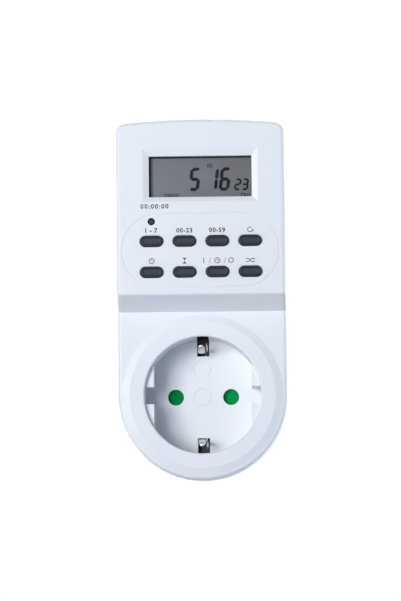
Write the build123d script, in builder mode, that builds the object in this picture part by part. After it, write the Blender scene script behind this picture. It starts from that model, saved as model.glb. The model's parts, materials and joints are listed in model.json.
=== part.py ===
"""Digital plug-in timer for an earthed wall socket, built as an assembly of separate pieces.

Frame: X to the right seen from the front, Z up, the display faces -Y and the plug pins
point to +Y. The origin is the centre of the end face of the round plug boss, on the axis
that the plug and the socket share. Lengths are in millimetres.
"""

import os
from math import cos, radians, sin, tan

from build123d import *

os.makedirs("parts", exist_ok=True)

# ---------------------------------------------------------------- outline of the shells
body_width = 57.6
crown_z = 93.2  # highest point of the gently arched top
crown_drop = 1.55  # how much lower the arch is above the side walls
top_corner_radius = 4.0
smallest_corner = 0.8
wall = 2.2
edge_round = 1.0
shell_chamfer = 0.25  # groove along the joint of the two shells
rear_edge_round = 1.5
draft = 1.3  # lean of the side walls, in degrees, narrower away from the joint of the shells

# ---------------------------------------------------------------- depths along Y
boss_length = 16.0  # end face of the plug boss to the rear face
rear_shell_depth = 14.0  # rear face to the parting line
lower_depth = 29.25  # rear face to the face beside the socket
display_rise = 9.75  # face beside the socket to the display face
pad_rise = 0.75  # round pad round the socket mouth

rear_y = -boss_length
rear_inner_y = rear_y - wall
parting_y = rear_y - rear_shell_depth
lower_y = rear_y - lower_depth
pad_y = lower_y - pad_rise
display_y = lower_y - display_rise
display_inner_y = display_y + wall

# ---------------------------------------------------------------- sloped step
step_foot_z = 28.2
step_run = 5.1  # how far the slope leans up between the two faces
step_top_z = step_foot_z + step_run

# ---------------------------------------------------------------- socket and plug system
pin_pitch = 19.0
pin_radius = 2.4
pin_length = 19.0
pin_neck_radius = 2.2  # the part of each pin inside the boss wall
pin_relief_depth = 0.4  # shallow relief round the foot of each pin, in the end of the boss
well_radius = 19.8
well_depth = 17.5
well_wall = 2.0
well_floor = 2.0
pad_radius = 24.75
pad_foot_radius = 27.3
mouth_round = 0.55
pin_hole_radius = 2.75
key_block_half = 16.6  # centre to the flat of each side block
key_block_drop = 2.3  # pad to the ledge on top of each side block
block_notch = 5.8  # width of the notch that splits each side block
earth_slot_width = 4.1
earth_slot_inner = 14.1  # centre to the inner end of each earth slot
earth_groove_depth = 2.4  # each slot runs through the wall of the well
earth_groove_drop = 0.6
floor_ring_radius = 3.25
floor_ring_line = 0.6
floor_ring_depth = 0.15
floor_ring_offset = 9.4

floor_y = pad_y + well_depth
floor_back_y = floor_y + well_floor
well_outer = well_radius + well_wall
pin_x = pin_pitch / 2

# plug boss, shaped to enter a socket like the one in front
boss_radius = 18.8
boss_flat_half = 16.2
boss_rib_width = 5.2
boss_end_wall = 3.0
boss_round = 0.8
boss_channel_width = 5.2
boss_channel_inner = 16.0
boss_end_inner_y = -boss_end_wall

# ---------------------------------------------------------------- display and keys
window_width = 34.7
window_height = 13.9
window_z = 73.3
bevel_side = 2.05  # bevelled frame round the window
bevel_top = 2.6
bevel_bottom = 1.55
frame_depth = 0.6
pane_margin = 1.9
pane_thickness = 0.8
pane_corner = 0.6
glass_margin = 2.4  # window to the side edges of the display glass
glass_end_margin = 2.0  # window to the upper and lower edges
glass_ledge = 0.8  # the rear sheet of the glass stands out to carry the contacts
glass_gap = 0.2
glass_thickness = 2.2
holder_wall = 1.6
holder_gap = 0.15
holder_corner = 0.8
holder_rim = 1.3  # side ledge under the glass

key_length = 7.65
key_height = 3.55
key_pitch = 11.07
key_row_z = (51.35, 40.9)
key_proud = 1.1
key_gap = 0.2
key_flange = 0.8
key_flange_margin = 1.0
key_travel = 0.7
key_edge = 0.4
reset_x = -16.6
reset_z = 58.05
reset_hole_radius = 1.25
reset_pin_radius = 0.9
reset_sunk = 0.7
ring_side_margin = 6.22  # end keys to the engraved ring
ring_row_margin = 5.65
ring_lift = 2.1  # the ring's middle above the middle of the keys
ring_line = 0.4
ring_depth = 0.15
flange_gap = 0.2  # inner face of the wall to the flange of a key
stem_length = 0.5
stem_radius = 1.1
stem_clearance = 0.2  # stem to dome with the key pressed
reset_stem_radius = 0.8
reset_edge = 0.25

# ---------------------------------------------------------------- boards
board_gap = 1.4  # inner wall to the edge of the control board
control_thickness = 1.2
mat_thickness = 1.0
dome_height = 2.0
control_bottom_z = 34.6
control_top_z = 83.2
power_thickness = 1.6
power_standoff = 5.0
power_bottom_z = 34.0
power_top_z = 80.5
power_edge_gap = 2.6

control_front_y = display_inner_y + flange_gap + key_flange + stem_length + key_travel
control_front_y += stem_clearance + dome_height + mat_thickness
control_back_y = control_front_y + control_thickness
power_back_y = rear_inner_y - power_standoff
power_front_y = power_back_y - power_thickness

# ---------------------------------------------------------------- screws
screw_clearance = 0.05
housing_screw_radius = 1.4
housing_screw_length = 16.0
housing_head_radius = 2.4
housing_head_height = 2.0
head_sink = 5.0  # rear face to the seat of a housing screw
head_clearance = 0.25
tube_wall = 1.2
post_radius = 2.8
board_screw_radius = 0.95
board_screw_length = 5.0
board_head_radius = 1.8
board_head_height = 1.2
board_post_radius = 2.0
standoff_radius = 2.4
post_gap = 0.2  # holder of the display glass to the posts beside it
board_post_low = 3.0  # lower edge of the control board to its lower screws
board_post_high = 3.2
power_post_side = 3.4  # side edge of the power board to its screws
power_post_low = 3.6
power_post_high = 3.5
lower_post_radius = 2.5
lower_screw_shift = 0.4
top_screw_side = 3.0  # inner wall to the upper housing screws
top_screw_drop = 5.05  # shoulder of the arch to the upper housing screws
pilot_depth = 10.0  # pilot holes of the housing screws
pilot_floor = 0.6  # material left in front of a board screw's pilot hole
pilot_spare = 0.5
recess_depth = 0.5  # cross recess of a screw head, as shares of the head's own size
recess_length = 1.1
recess_width = 0.28

frame_width = window_width + 2 * bevel_side
frame_height = window_height + bevel_top + bevel_bottom
frame_z = window_z + (bevel_top - bevel_bottom) / 2
ring_width = 3 * key_pitch + key_length + 2 * ring_side_margin
ring_height = key_row_z[0] - key_row_z[1] + key_height + 2 * ring_row_margin
ring_z = (key_row_z[0] + key_row_z[1]) / 2 + ring_lift
half_width = body_width / 2
inner_half = half_width - wall
rear_taper = (rear_shell_depth - shell_chamfer) * tan(radians(draft))
rear_inner_taper = (rear_shell_depth - wall) * tan(radians(draft))
screw_circle = (well_outer + inner_half) / 2 + lower_screw_shift
top_screw_x = inner_half - top_screw_side
top_screw_z = crown_z - crown_drop - top_screw_drop
lower_screw = screw_circle * cos(radians(45))
housing_screw_points = [
    (-top_screw_x, top_screw_z),
    (top_screw_x, top_screw_z),
    (-lower_screw, -lower_screw),
    (lower_screw, -lower_screw),
]
glass_width = window_width + 2 * glass_margin
glass_height = window_height + 2 * glass_end_margin
holder_width = glass_width + 2 * (holder_wall + holder_gap)
holder_height = glass_height + 2 * (holder_wall + holder_gap)
board_post_x = holder_width / 2 + post_gap + board_post_radius
board_post_points = [
    (side * board_post_x, z)
    for side in (-1, 1)
    for z in (control_bottom_z + board_post_low, control_top_z - board_post_high)
]
power_post_x = inner_half - power_edge_gap - power_post_side
power_post_points = [
    (side * power_post_x, z)
    for side in (-1, 1)
    for z in (power_bottom_z + power_post_low, power_top_z - power_post_high)
]


# ================================================================ shared shapes
def facing_front(y):
    """Plane at depth y: its local x is X, its local y is Z, and it looks towards -Y."""
    return Plane(origin=(0, y, 0), x_dir=(1, 0, 0), z_dir=(0, -1, 0))


def rods(points, radius, y_from, y_to, mode=Mode.ADD):
    """Round bars along Y through (x, z) points, between two depths."""
    with BuildSketch(facing_front(y_from)) as ends:
        with Locations(*points):
            Circle(radius)
    extrude(ends.sketch, amount=y_from - y_to, mode=mode)


def bars(points, width, height, y_from, y_to, mode=Mode.ADD, corner=0.0):
    """Rectangular bars along Y centred on (x, z) points, between two depths."""
    with BuildSketch(facing_front(y_from)) as ends:
        with Locations(*points):
            if corner > 0:
                RectangleRounded(width, height, corner)
            else:
                Rectangle(width, height)
    extrude(ends.sketch, amount=y_from - y_to, mode=mode)


def ovals(points, length, height, y_from, y_to, mode=Mode.ADD):
    """Oblong bars with round ends along Y centred on (x, z) points."""
    with BuildSketch(facing_front(y_from)) as ends:
        with Locations(*points):
            SlotOverall(length, height)
    extrude(ends.sketch, amount=y_from - y_to, mode=mode)


def bent_strip(x, path_points, radius, thickness, width):
    """Strip bent along (y, z) points, with a width along X that is centred on x."""
    with BuildSketch(Plane.YZ.offset(x - width / 2)) as section_of_strip:
        with BuildLine() as middle:
            FilletPolyline(*path_points, radius=radius)
        trace(middle.line, thickness)
    extrude(section_of_strip.sketch, amount=width)


def wire(points, radii, radius):
    """Round insulated wire along a route."""
    with BuildLine() as route:
        FilletPolyline(*points, radius=radii)
    with BuildSketch(Plane(origin=route.line @ 0, z_dir=route.line % 0)) as end:
        Circle(radius)
    sweep(end.sketch, path=route.line)


def screws(points, seat_y, head_side, shank, length, head, height):
    """Pan head screws along Y. head_side is +1 for heads towards the back, -1 towards the front."""
    top_y = seat_y + head_side * height
    rods(points, head, seat_y, top_y)
    rods(points, shank, seat_y, seat_y - head_side * length)
    recess_y = top_y - head_side * height * recess_depth
    long_side = head * recess_length
    short_side = head * recess_width
    bars(points, long_side, short_side, top_y, recess_y, Mode.SUBTRACT)
    bars(points, short_side, long_side, top_y, recess_y, Mode.SUBTRACT)


def save(piece, name):
    """Label a finished piece and write it."""
    piece.part.label = name
    export_step(piece.part, f"parts/{name}.step")


def body_outline(y, inset=0.0):
    """Outline of the shells at depth y: half circle below, straight sides, arched top."""
    half = half_width - inset
    crown = crown_z - inset
    shoulder = crown - crown_drop
    with BuildSketch(facing_front(y)) as outline:
        with BuildLine():
            ThreePointArc((-half, 0), (0, -half), (half, 0))
            Line((half, 0), (half, shoulder))
            ThreePointArc((half, shoulder), (0, crown), (-half, shoulder))
            Line((-half, shoulder), (-half, 0))
        make_face()
        fillet(outline.vertices().group_by(Axis.Y)[-1], max(top_corner_radius - inset, smallest_corner))
    return outline.sketch


def space_before_step(grow=0.0):
    """Side view of the space in front of the socket half, up to the sloped step."""
    reach = display_rise
    lean = step_run / display_rise
    with BuildSketch(Plane.YZ) as space:
        with BuildLine():
            Polyline(
                (lower_y, step_foot_z),
                (display_y - reach, step_top_z + reach * lean),
                (display_y - reach, -2 * body_width),
                (lower_y, -2 * body_width),
                close=True,
            )
        make_face()
        if grow > 0:
            offset(amount=grow, kind=Kind.INTERSECTION)
    return space.sketch


def key_block_plan(y):
    """Plan of the well below the side blocks' ledges: flats left and right, split by a notch."""
    with BuildSketch(facing_front(y)) as plan:
        Circle(well_radius)
        Rectangle(2 * key_block_half, 2 * well_radius, mode=Mode.INTERSECT)
        with BuildSketch(mode=Mode.PRIVATE) as notch:
            Circle(well_radius)
            Rectangle(2 * well_radius, block_notch, mode=Mode.INTERSECT)
        add(notch.sketch)
    return plan.sketch


def boss_plan(y, inset=0.0):
    """Plan of the plug boss: a circle with side flats and a middle rib on each side."""
    with BuildSketch(facing_front(y)) as plan:
        Circle(boss_radius - inset)
        Rectangle(2 * (boss_flat_half - inset), 2 * boss_radius, mode=Mode.INTERSECT)
        if inset == 0:
            with BuildSketch(mode=Mode.PRIVATE) as rib:
                Circle(boss_radius)
                Rectangle(2 * boss_radius, boss_rib_width, mode=Mode.INTERSECT)
            add(rib.sketch)
    return plan.sketch


key_points = [
    ((column - 1.5) * key_pitch, row_z) for row_z in key_row_z for column in range(4)
]
pin_points = [(-pin_x, 0), (pin_x, 0)]

# ================================================================ front housing
with BuildPart() as front_cavity:
    extrude(body_outline(parting_y, wall), amount=parting_y - display_inner_y, taper=draft)
    extrude(space_before_step(wall), amount=body_width, both=True, mode=Mode.SUBTRACT)

carrier_screw_shift = 1.0
carrier_screw_x = (key_block_half + well_outer) / 2 - carrier_screw_shift
carrier_screw_z = 6.5
carrier_screw_points = [(-carrier_screw_x, carrier_screw_z), (carrier_screw_x, -carrier_screw_z)]
carrier_screw_length = 7.0
shutter_gap = 0.3
shutter_thickness = 1.6
shutter_back_gap = 0.2
carrier_front_y = floor_back_y + shutter_gap + shutter_thickness + shutter_back_gap
carrier_plate = 2.1
carrier_back_y = carrier_front_y + carrier_plate
stud_radius = 3.0
stud_short = 0.2  # the stud ends this far inside the back of the carrier
carrier_boss_radius = 2.4

with BuildPart() as front_housing:
    extrude(body_outline(parting_y, shell_chamfer), amount=shell_chamfer, taper=-45)
    main_y = parting_y - shell_chamfer
    extrude(body_outline(main_y), amount=main_y - display_y, taper=draft)
    extrude(space_before_step(), amount=body_width, both=True, mode=Mode.SUBTRACT)
    front_edges = front_housing.edges().filter_by(
        lambda edge: edge.bounding_box().max.Y < (parting_y + lower_y) / 2
        and abs(edge.center().Z - step_foot_z) > 0.01
    )
    fillet(front_edges, edge_round)
    add(front_cavity.part, mode=Mode.SUBTRACT)

    # socket: round pad, tube of the well, floor
    with BuildSketch(facing_front(lower_y)):
        Circle(pad_foot_radius)
    with BuildSketch(facing_front(pad_y)):
        Circle(pad_radius)
    loft()
    rods([(0, 0)], well_outer, floor_back_y, lower_y + wall / 2)

    # posts for the housing screws, the control board and the contact carrier
    rods(housing_screw_points[:2], post_radius, parting_y, display_inner_y)
    rods(housing_screw_points[2:], lower_post_radius, parting_y, lower_y + wall)
    rods(board_post_points, board_post_radius, control_front_y, display_inner_y)
    rods(carrier_screw_points, carrier_boss_radius, carrier_front_y, floor_back_y)
    rods([(0, 0)], stud_radius, carrier_back_y - stud_short, floor_back_y)

    # the well, with its ledges, side blocks and split notches
    rods([(0, 0)], well_radius, pad_y + key_block_drop, pad_y, Mode.SUBTRACT)
    extrude(key_block_plan(floor_y), amount=well_depth, mode=Mode.SUBTRACT)
    mouth = front_housing.edges().filter_by(
        lambda edge: abs(edge.center().Y - pad_y) < 0.01
        and edge.bounding_box().size.X < well_radius + pad_radius
    )
    fillet(mouth, mouth_round)

    # holes for the pins and slots for the earth clips
    rods(pin_points, pin_hole_radius, floor_back_y, floor_y, Mode.SUBTRACT)
    slot_outer = well_radius + earth_groove_depth
    slot_length = slot_outer - earth_slot_inner
    slot_middle = (slot_outer + earth_slot_inner) / 2
    bars(
        [(0, -slot_middle), (0, slot_middle)],
        earth_slot_width,
        slot_length,
        floor_back_y,
        pad_y + earth_groove_drop,
        Mode.SUBTRACT,
    )

    # two shallow round moulding marks on the floor
    with BuildSketch(facing_front(floor_y + floor_ring_depth)):
        with Locations((0, 0), (0, floor_ring_offset)):
            Circle(floor_ring_radius)
            Circle(floor_ring_radius - floor_ring_line, mode=Mode.SUBTRACT)
    extrude(amount=floor_ring_depth, mode=Mode.SUBTRACT)

    # bevelled frame and window of the display
    with BuildSketch(facing_front(display_y)):
        with Locations((0, frame_z)):
            Rectangle(frame_width, frame_height)
    with BuildSketch(facing_front(display_y + frame_depth)):
        with Locations((0, window_z)):
            Rectangle(window_width, window_height)
    loft(mode=Mode.SUBTRACT)
    bars([(0, window_z)], window_width, window_height, display_inner_y, display_y, Mode.SUBTRACT)

    # engraved ring round the keys
    with BuildSketch(facing_front(display_y + ring_depth)):
        with Locations((0, ring_z)):
            SlotOverall(ring_width, ring_height)
            SlotOverall(ring_width - 2 * ring_line, ring_height - 2 * ring_line, mode=Mode.SUBTRACT)
    extrude(amount=ring_depth, mode=Mode.SUBTRACT)

    # key holes and reset hole
    ovals(
        key_points,
        key_length + 2 * key_gap,
        key_height + 2 * key_gap,
        display_inner_y,
        display_y,
        Mode.SUBTRACT,
    )
    rods([(reset_x, reset_z)], reset_hole_radius, display_inner_y, display_y, Mode.SUBTRACT)

    # pilot holes of the screws
    housing_hole = housing_screw_radius + screw_clearance
    pilot_end_y = parting_y - pilot_depth
    rods(housing_screw_points, housing_hole, parting_y, pilot_end_y, Mode.SUBTRACT)
    board_hole = board_screw_radius + screw_clearance
    pilot_end_y = display_inner_y + pilot_floor
    rods(board_post_points, board_hole, control_front_y, pilot_end_y, Mode.SUBTRACT)
    carrier_hole_y = carrier_back_y - carrier_screw_length - pilot_spare
    rods(carrier_screw_points, board_hole, carrier_front_y, carrier_hole_y, Mode.SUBTRACT)

save(front_housing, "front_housing")

# ================================================================ rear housing
tube_radius = housing_head_radius + head_clearance + tube_wall
head_hole_radius = housing_head_radius + head_clearance
seat_y = rear_y - head_sink
rib_width = 8.0
rib_thickness = 1.2
rib_reach = 1.6
rib_clearance = 0.15
rib_heights = (16.0, 62.0)
shell_joint_gap = 0.2
barrier_thickness = 1.6
barrier_height = 20.0
barrier_front_y = -14.0
label_width = 40.0
label_height = 34.0
label_z = 54.0
label_depth = 0.3
label_corner = 1.5
channel_end_wall = 1.6
backing_height = 2.0
backing_margin = 1.8  # how far the backing stands out on each side of a channel
backing_sink = 0.8  # how far the backing runs into the rear wall
backing_y = rear_y - backing_sink
slot_short = 0.2
rib_foot = 0.4
rib_foot_drop = 2.0  # parting line to the front of each rib's foot
rib_foot_y = parting_y + rib_foot_drop
standoff_floor = 0.4  # wall left behind a standoff's pilot hole, over the rear wall
standoff_floor_y = rear_inner_y - standoff_floor

with BuildPart() as rear_housing:
    joint_y = parting_y + shell_chamfer
    extrude(body_outline(rear_y, rear_taper), amount=rear_y - joint_y, taper=-draft)
    extrude(body_outline(joint_y), amount=shell_chamfer, taper=45)
    rear_edges = rear_housing.edges().filter_by(lambda edge: edge.center().Y > rear_y - 0.01)
    fillet(rear_edges, rear_edge_round)
    hollow = body_outline(rear_inner_y, wall + rear_inner_taper)
    extrude(hollow, amount=rear_inner_y - parting_y, taper=-draft, mode=Mode.SUBTRACT)

    # plug boss with a hollow for the contacts
    extrude(boss_plan(0), amount=boss_length + wall / 2)
    boss_edges = rear_housing.edges().filter_by(lambda edge: edge.center().Y > -0.01)
    fillet(boss_edges, boss_round)
    extrude(boss_plan(boss_end_inner_y, wall), amount=boss_length, mode=Mode.SUBTRACT)

    # channels for the earth arms, with a closed inner side
    channel_back_y = -channel_end_wall
    for side in (-1, 1):
        bars(
            [(0, side * (boss_channel_inner - backing_height / 2))],
            boss_channel_width + 2 * backing_margin,
            backing_height,
            boss_end_inner_y,
            backing_y,
        )
        channel_height = 2 * (boss_radius - boss_channel_inner)
        channel_z = side * (boss_channel_inner + channel_height / 2)
        bars([(0, channel_z)], boss_channel_width, channel_height, channel_back_y, rear_y, Mode.SUBTRACT)
        slot_height = boss_radius - boss_channel_inner - slot_short
        slot_z = side * (boss_channel_inner + slot_height / 2)
        bars([(0, slot_z)], boss_channel_width, slot_height, rear_y, rear_inner_y, Mode.SUBTRACT)

    # wall between the live and the neutral side
    bars([(0, 0)], barrier_thickness, barrier_height, boss_end_inner_y, barrier_front_y)
    rods(pin_points, pin_neck_radius + screw_clearance, 0, boss_end_inner_y, Mode.SUBTRACT)
    rods(pin_points, pin_radius + screw_clearance, 0, -pin_relief_depth, Mode.SUBTRACT)

    # screw tubes, board standoffs and locating ribs
    rods(housing_screw_points, tube_radius, rear_inner_y, seat_y - tube_wall)
    rods(housing_screw_points[:2], post_radius, seat_y, parting_y + shell_joint_gap)
    rods(housing_screw_points[2:], lower_post_radius, seat_y, parting_y + shell_joint_gap)
    rods(power_post_points, standoff_radius, rear_inner_y, power_back_y)
    rib_x = inner_half - rib_clearance - rib_thickness / 2
    rib_points = [(side * rib_x, z) for side in (-1, 1) for z in rib_heights]
    bars(rib_points, rib_thickness, rib_width, rear_inner_y, parting_y - rib_reach)
    foot_x = inner_half - rib_clearance / 2
    foot_points = [(side * foot_x, z) for side in (-1, 1) for z in rib_heights]
    bars(foot_points, rib_clearance + rib_foot, rib_width, rear_inner_y, rib_foot_y)

    # shallow bare field for a rating label
    bars(
        [(0, label_z)],
        label_width,
        label_height,
        rear_y,
        rear_y - label_depth,
        Mode.SUBTRACT,
        corner=label_corner,
    )

    # screw holes
    rods(housing_screw_points, head_hole_radius, rear_y, seat_y, Mode.SUBTRACT)
    through_hole = housing_screw_radius + 3 * screw_clearance
    rods(housing_screw_points, through_hole, seat_y, parting_y, Mode.SUBTRACT)
    rods(power_post_points, board_hole, power_back_y, standoff_floor_y, Mode.SUBTRACT)

save(rear_housing, "rear_housing")

with BuildPart() as housing_screws:
    screws(
        housing_screw_points,
        seat_y,
        1,
        housing_screw_radius,
        housing_screw_length,
        housing_head_radius,
        housing_head_height,
    )
save(housing_screws, "housing_screws")

# ================================================================ plug pins and live tab
pin_head_radius = 3.4
pin_head_height = 1.2
stub_radius = 1.5
stub_length = 1.0
tab_thickness = 0.6
pin_tip_round = 1.5
pin_head_y = boss_end_inner_y - pin_head_height
stub_y = pin_head_y - stub_length


def plug_pin(x, name):
    """Solid round pin with a shoulder inside the boss and a riveted stub."""
    with BuildPart() as pin:
        rods([(x, 0)], pin_radius, pin_length, 0)
        tip = pin.edges().filter_by(lambda edge: edge.center().Y > pin_length - 0.01)
        fillet(tip, pin_tip_round)
        rods([(x, 0)], pin_neck_radius, 0, boss_end_inner_y)
        rods([(x, 0)], pin_head_radius, boss_end_inner_y, pin_head_y)
        rods([(x, 0)], stub_radius, pin_head_y, stub_y)
    save(pin, name)


plug_pin(-pin_x, "live_pin")
plug_pin(pin_x, "neutral_pin")

tab_width = 5.0
tab_y = pin_head_y - tab_thickness / 2
tab_arm_z = 9.0
tab_arm_length = 5.0
tab_low_z = -3.0
bend_radius = 0.6

with BuildPart() as live_tab:
    tab_points = [(tab_y, tab_low_z), (tab_y, tab_arm_z), (tab_y - tab_arm_length, tab_arm_z)]
    bent_strip(-pin_x, tab_points, bend_radius, tab_thickness, tab_width)
    rods([(-pin_x, 0)], stub_radius + screw_clearance, pin_head_y, stub_y, Mode.SUBTRACT)
save(live_tab, "live_tab")

# ================================================================ socket contacts
contact_gap = 0.2  # tip of an inserted pin to the base of its contact
leaf_open = 3.2
leaf_grip = 2.6
leaf_mouth = 3.4
leaf_grip_depth = 3.0  # back of the carrier to the narrowest place between the leaves
leaf_mouth_depth = 0.4
contact_base_y = floor_y + pin_length + contact_gap
leaf_grip_y = carrier_back_y + leaf_grip_depth
leaf_mouth_y = carrier_back_y + leaf_mouth_depth


def socket_contact(x, arm, name):
    """Two-leaf spring contact behind a pin hole; arm is the path of its connecting arm."""
    upper_leaf = [
        (contact_base_y, 0),
        (contact_base_y, leaf_open),
        (leaf_grip_y, leaf_grip),
        (leaf_mouth_y, leaf_mouth),
    ]
    lower_leaf = [(y, -z) for y, z in upper_leaf]
    with BuildPart() as contact:
        for path_points in (upper_leaf, lower_leaf, arm):
            bent_strip(x, path_points, bend_radius, tab_thickness, tab_width)
        rods([(x, 0)], stub_radius + screw_clearance, pin_head_y, stub_y, Mode.SUBTRACT)
    save(contact, name)


switched_arm_z = -8.0
switched_arm_length = 4.0
switched_arm_y = contact_base_y - switched_arm_length
socket_contact(
    -pin_x,
    [(contact_base_y, 0), (contact_base_y, switched_arm_z), (switched_arm_y, switched_arm_z)],
    "live_contact",
)
socket_contact(
    pin_x,
    [(contact_base_y, 0), (contact_base_y, tab_arm_z), (tab_y, tab_arm_z), (tab_y, tab_low_z)],
    "neutral_contact",
)

# ================================================================ contact carrier
carrier_radius = 16.0
chamber_wall = 1.0
chamber_side_gap = 0.4  # contact to the walls of its chamber
chamber_top_gap = 0.8
chamber_length = tab_width + 2 * chamber_side_gap
chamber_height = 2 * (leaf_open + chamber_top_gap)
chamber_end_y = contact_base_y - tab_thickness
strap_width = 5.0
strap_notch_inner = 13.8
strap_notch_gap = 0.3
carrier_hole_gap = 0.1
spring_pocket_outer = 5.6
spring_pocket_inner = 3.7
spring_pocket_depth = 1.7
guide_gap = 0.2  # wall of the well to the guide behind each earth slot
guide_wall = 1.0
guide_depth = 1.6
guide_side = 0.55  # side of an earth slot to the inside of its guide
guide_front_gap = 0.3
guide_root_z = 15.0
guide_start_z = well_outer + guide_gap
guide_end_z = guide_start_z + guide_depth + guide_wall
guide_front_y = lower_y + wall + guide_front_gap
guide_width = earth_slot_width + 2 * (guide_side + guide_wall)

with BuildPart() as contact_carrier:
    rods([(0, 0)], carrier_radius, carrier_back_y, carrier_front_y)
    with BuildSketch(facing_front(carrier_back_y)):
        SlotCenterPoint((0, 0), carrier_screw_points[0], 2 * carrier_boss_radius)
    extrude(amount=carrier_plate)
    bars(
        pin_points,
        chamber_length + 2 * chamber_wall,
        chamber_height + 2 * chamber_wall,
        chamber_end_y,
        carrier_back_y,
    )
    bars(pin_points, chamber_length, chamber_height, chamber_end_y, carrier_back_y, Mode.SUBTRACT)

    # arms with a U-shaped guide behind each earth slot
    for side in (-1, 1):
        arm_z = side * (guide_root_z + guide_end_z) / 2
        arm_height = guide_end_z - guide_root_z
        guide_z = side * (guide_start_z + guide_end_z) / 2
        guide_height = guide_end_z - guide_start_z
        trough_z = side * (guide_start_z + guide_depth / 2)
        trough_width = guide_width - 2 * guide_wall
        bars([(0, arm_z)], guide_width, arm_height, carrier_back_y, carrier_front_y)
        bars([(0, guide_z)], guide_width, guide_height, carrier_back_y, guide_front_y)
        trough = [(0, trough_z)]
        bars(trough, trough_width, guide_depth, carrier_front_y, guide_front_y, Mode.SUBTRACT)

    pin_way = pin_hole_radius + carrier_hole_gap
    rods(pin_points, pin_way, carrier_back_y, carrier_front_y, Mode.SUBTRACT)
    notch_height = 2 * (carrier_radius - strap_notch_inner)
    notch_z = strap_notch_inner + notch_height / 2
    bars(
        [(0, -notch_z), (0, notch_z)],
        strap_width + 2 * strap_notch_gap,
        notch_height,
        carrier_back_y,
        carrier_front_y,
        Mode.SUBTRACT,
    )
    pocket_y = carrier_front_y + spring_pocket_depth
    with BuildSketch(facing_front(pocket_y)):
        Circle(spring_pocket_outer)
        Circle(spring_pocket_inner, mode=Mode.SUBTRACT)
    extrude(amount=spring_pocket_depth, mode=Mode.SUBTRACT)
    stud_way = stud_radius + carrier_hole_gap
    rods([(0, 0)], stud_way, carrier_back_y, carrier_front_y, Mode.SUBTRACT)
    rods(carrier_screw_points, board_hole, carrier_back_y, carrier_front_y, Mode.SUBTRACT)
save(contact_carrier, "contact_carrier")

with BuildPart() as carrier_screws:
    screws(
        carrier_screw_points,
        carrier_back_y,
        1,
        board_screw_radius,
        carrier_screw_length,
        board_head_radius,
        board_head_height,
    )
save(carrier_screws, "carrier_screws")

# ================================================================ shutter and its spring
shutter_radius = 13.2
shutter_turn = 38.0
shutter_window = 2.9
shutter_cut_angle = 40.0  # from the vertical to each cut-away
shutter_cut_radius = 5.94
shutter_front_y = floor_back_y + shutter_gap
shutter_back_y = shutter_front_y + shutter_thickness

with BuildPart() as shutter:
    rods([(0, 0)], shutter_radius, shutter_back_y, shutter_front_y)
    window_points = [
        (
            side * pin_x * cos(radians(shutter_turn)),
            side * pin_x * sin(radians(shutter_turn)),
        )
        for side in (-1, 1)
    ]
    rods(window_points, shutter_window, shutter_back_y, shutter_front_y, Mode.SUBTRACT)
    rods([(0, 0)], stud_radius + screw_clearance, shutter_back_y, shutter_front_y, Mode.SUBTRACT)
    # the disc is cut away where no pin hole needs cover
    for side in (-1, 1):
        cut_x = side * shutter_radius * sin(radians(shutter_cut_angle))
        cut_z = -side * shutter_radius * cos(radians(shutter_cut_angle))
        rods([(cut_x, cut_z)], shutter_cut_radius, shutter_back_y, shutter_front_y, Mode.SUBTRACT)
save(shutter, "shutter")

spring_wire = 0.25
spring_radius = (spring_pocket_outer + spring_pocket_inner) / 2
spring_pitch = 0.54
spring_turns = 1.75
spring_gap = 0.1

with BuildPart() as shutter_spring:
    spring_start_y = carrier_front_y + spring_wire + spring_gap
    with BuildLine() as coil:
        Helix(
            spring_pitch,
            spring_pitch * spring_turns,
            spring_radius,
            center=(0, spring_start_y, 0),
            direction=(0, 1, 0),
        )
    with BuildSketch(Plane(origin=coil.line @ 0, z_dir=coil.line % 0)):
        Circle(spring_wire)
    sweep(path=coil.line)
save(shutter_spring, "shutter_spring")

# ================================================================ earth strap
strap_thickness = 0.8
strap_bend = 0.7
strap_gap = 0.3  # back of the carrier to the strap
strap_y = carrier_back_y + strap_gap + strap_thickness / 2
strap_half_length = 13.8
arm_root_z = 12.8
front_arm_width = 2.4
front_arm_z = 15.8
back_arm_width = 4.4
back_arm_z = 17.6
clip_grip_z = 14.7
clip_tip_z = 17.9
clip_grip_y = pad_y + 12.0
clip_tip_y = pad_y + 5.0
clip_curl_y = 1.2
clip_curl_z = 0.7
boss_bow = 0.6  # how far each rear contact bows out of its channel
boss_contact_end_y = -2.2
boss_contact_end_z = boss_channel_inner + 0.8


def earth_arms(side):
    """Clip that stands in the socket and contact that lies along the plug boss."""
    clip = [
        (strap_y, side * arm_root_z),
        (strap_y, side * front_arm_z),
        (floor_y, side * front_arm_z),
        (clip_grip_y, side * clip_grip_z),
        (clip_tip_y, side * clip_tip_z),
        (clip_tip_y + clip_curl_y, side * (clip_tip_z + clip_curl_z)),
    ]
    boss_contact = [
        (strap_y, side * arm_root_z),
        (strap_y, side * back_arm_z),
        (rear_y, side * back_arm_z),
        (rear_y / 2, side * (back_arm_z + boss_bow)),
        (boss_contact_end_y, side * boss_contact_end_z),
    ]
    bent_strip(0, clip, strap_bend, strap_thickness, front_arm_width)
    bent_strip(0, boss_contact, strap_bend, strap_thickness, back_arm_width)


with BuildPart() as earth_strap:
    strap_front_y = strap_y - strap_thickness / 2
    strap_back_y = strap_y + strap_thickness / 2
    bars([(0, 0)], strap_width, 2 * strap_half_length, strap_back_y, strap_front_y)
    for side in (-1, 1):
        earth_arms(side)
save(earth_strap, "earth_strap")

# ================================================================ keys
flange_front_y = display_inner_y + flange_gap
flange_back_y = flange_front_y + key_flange
stem_end_y = flange_back_y + stem_length
key_front_y = display_y - key_proud
key_names = (
    "key_day",
    "key_hour",
    "key_minute",
    "key_recall",
    "key_clock",
    "key_timer",
    "key_mode",
    "key_random",
)


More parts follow.
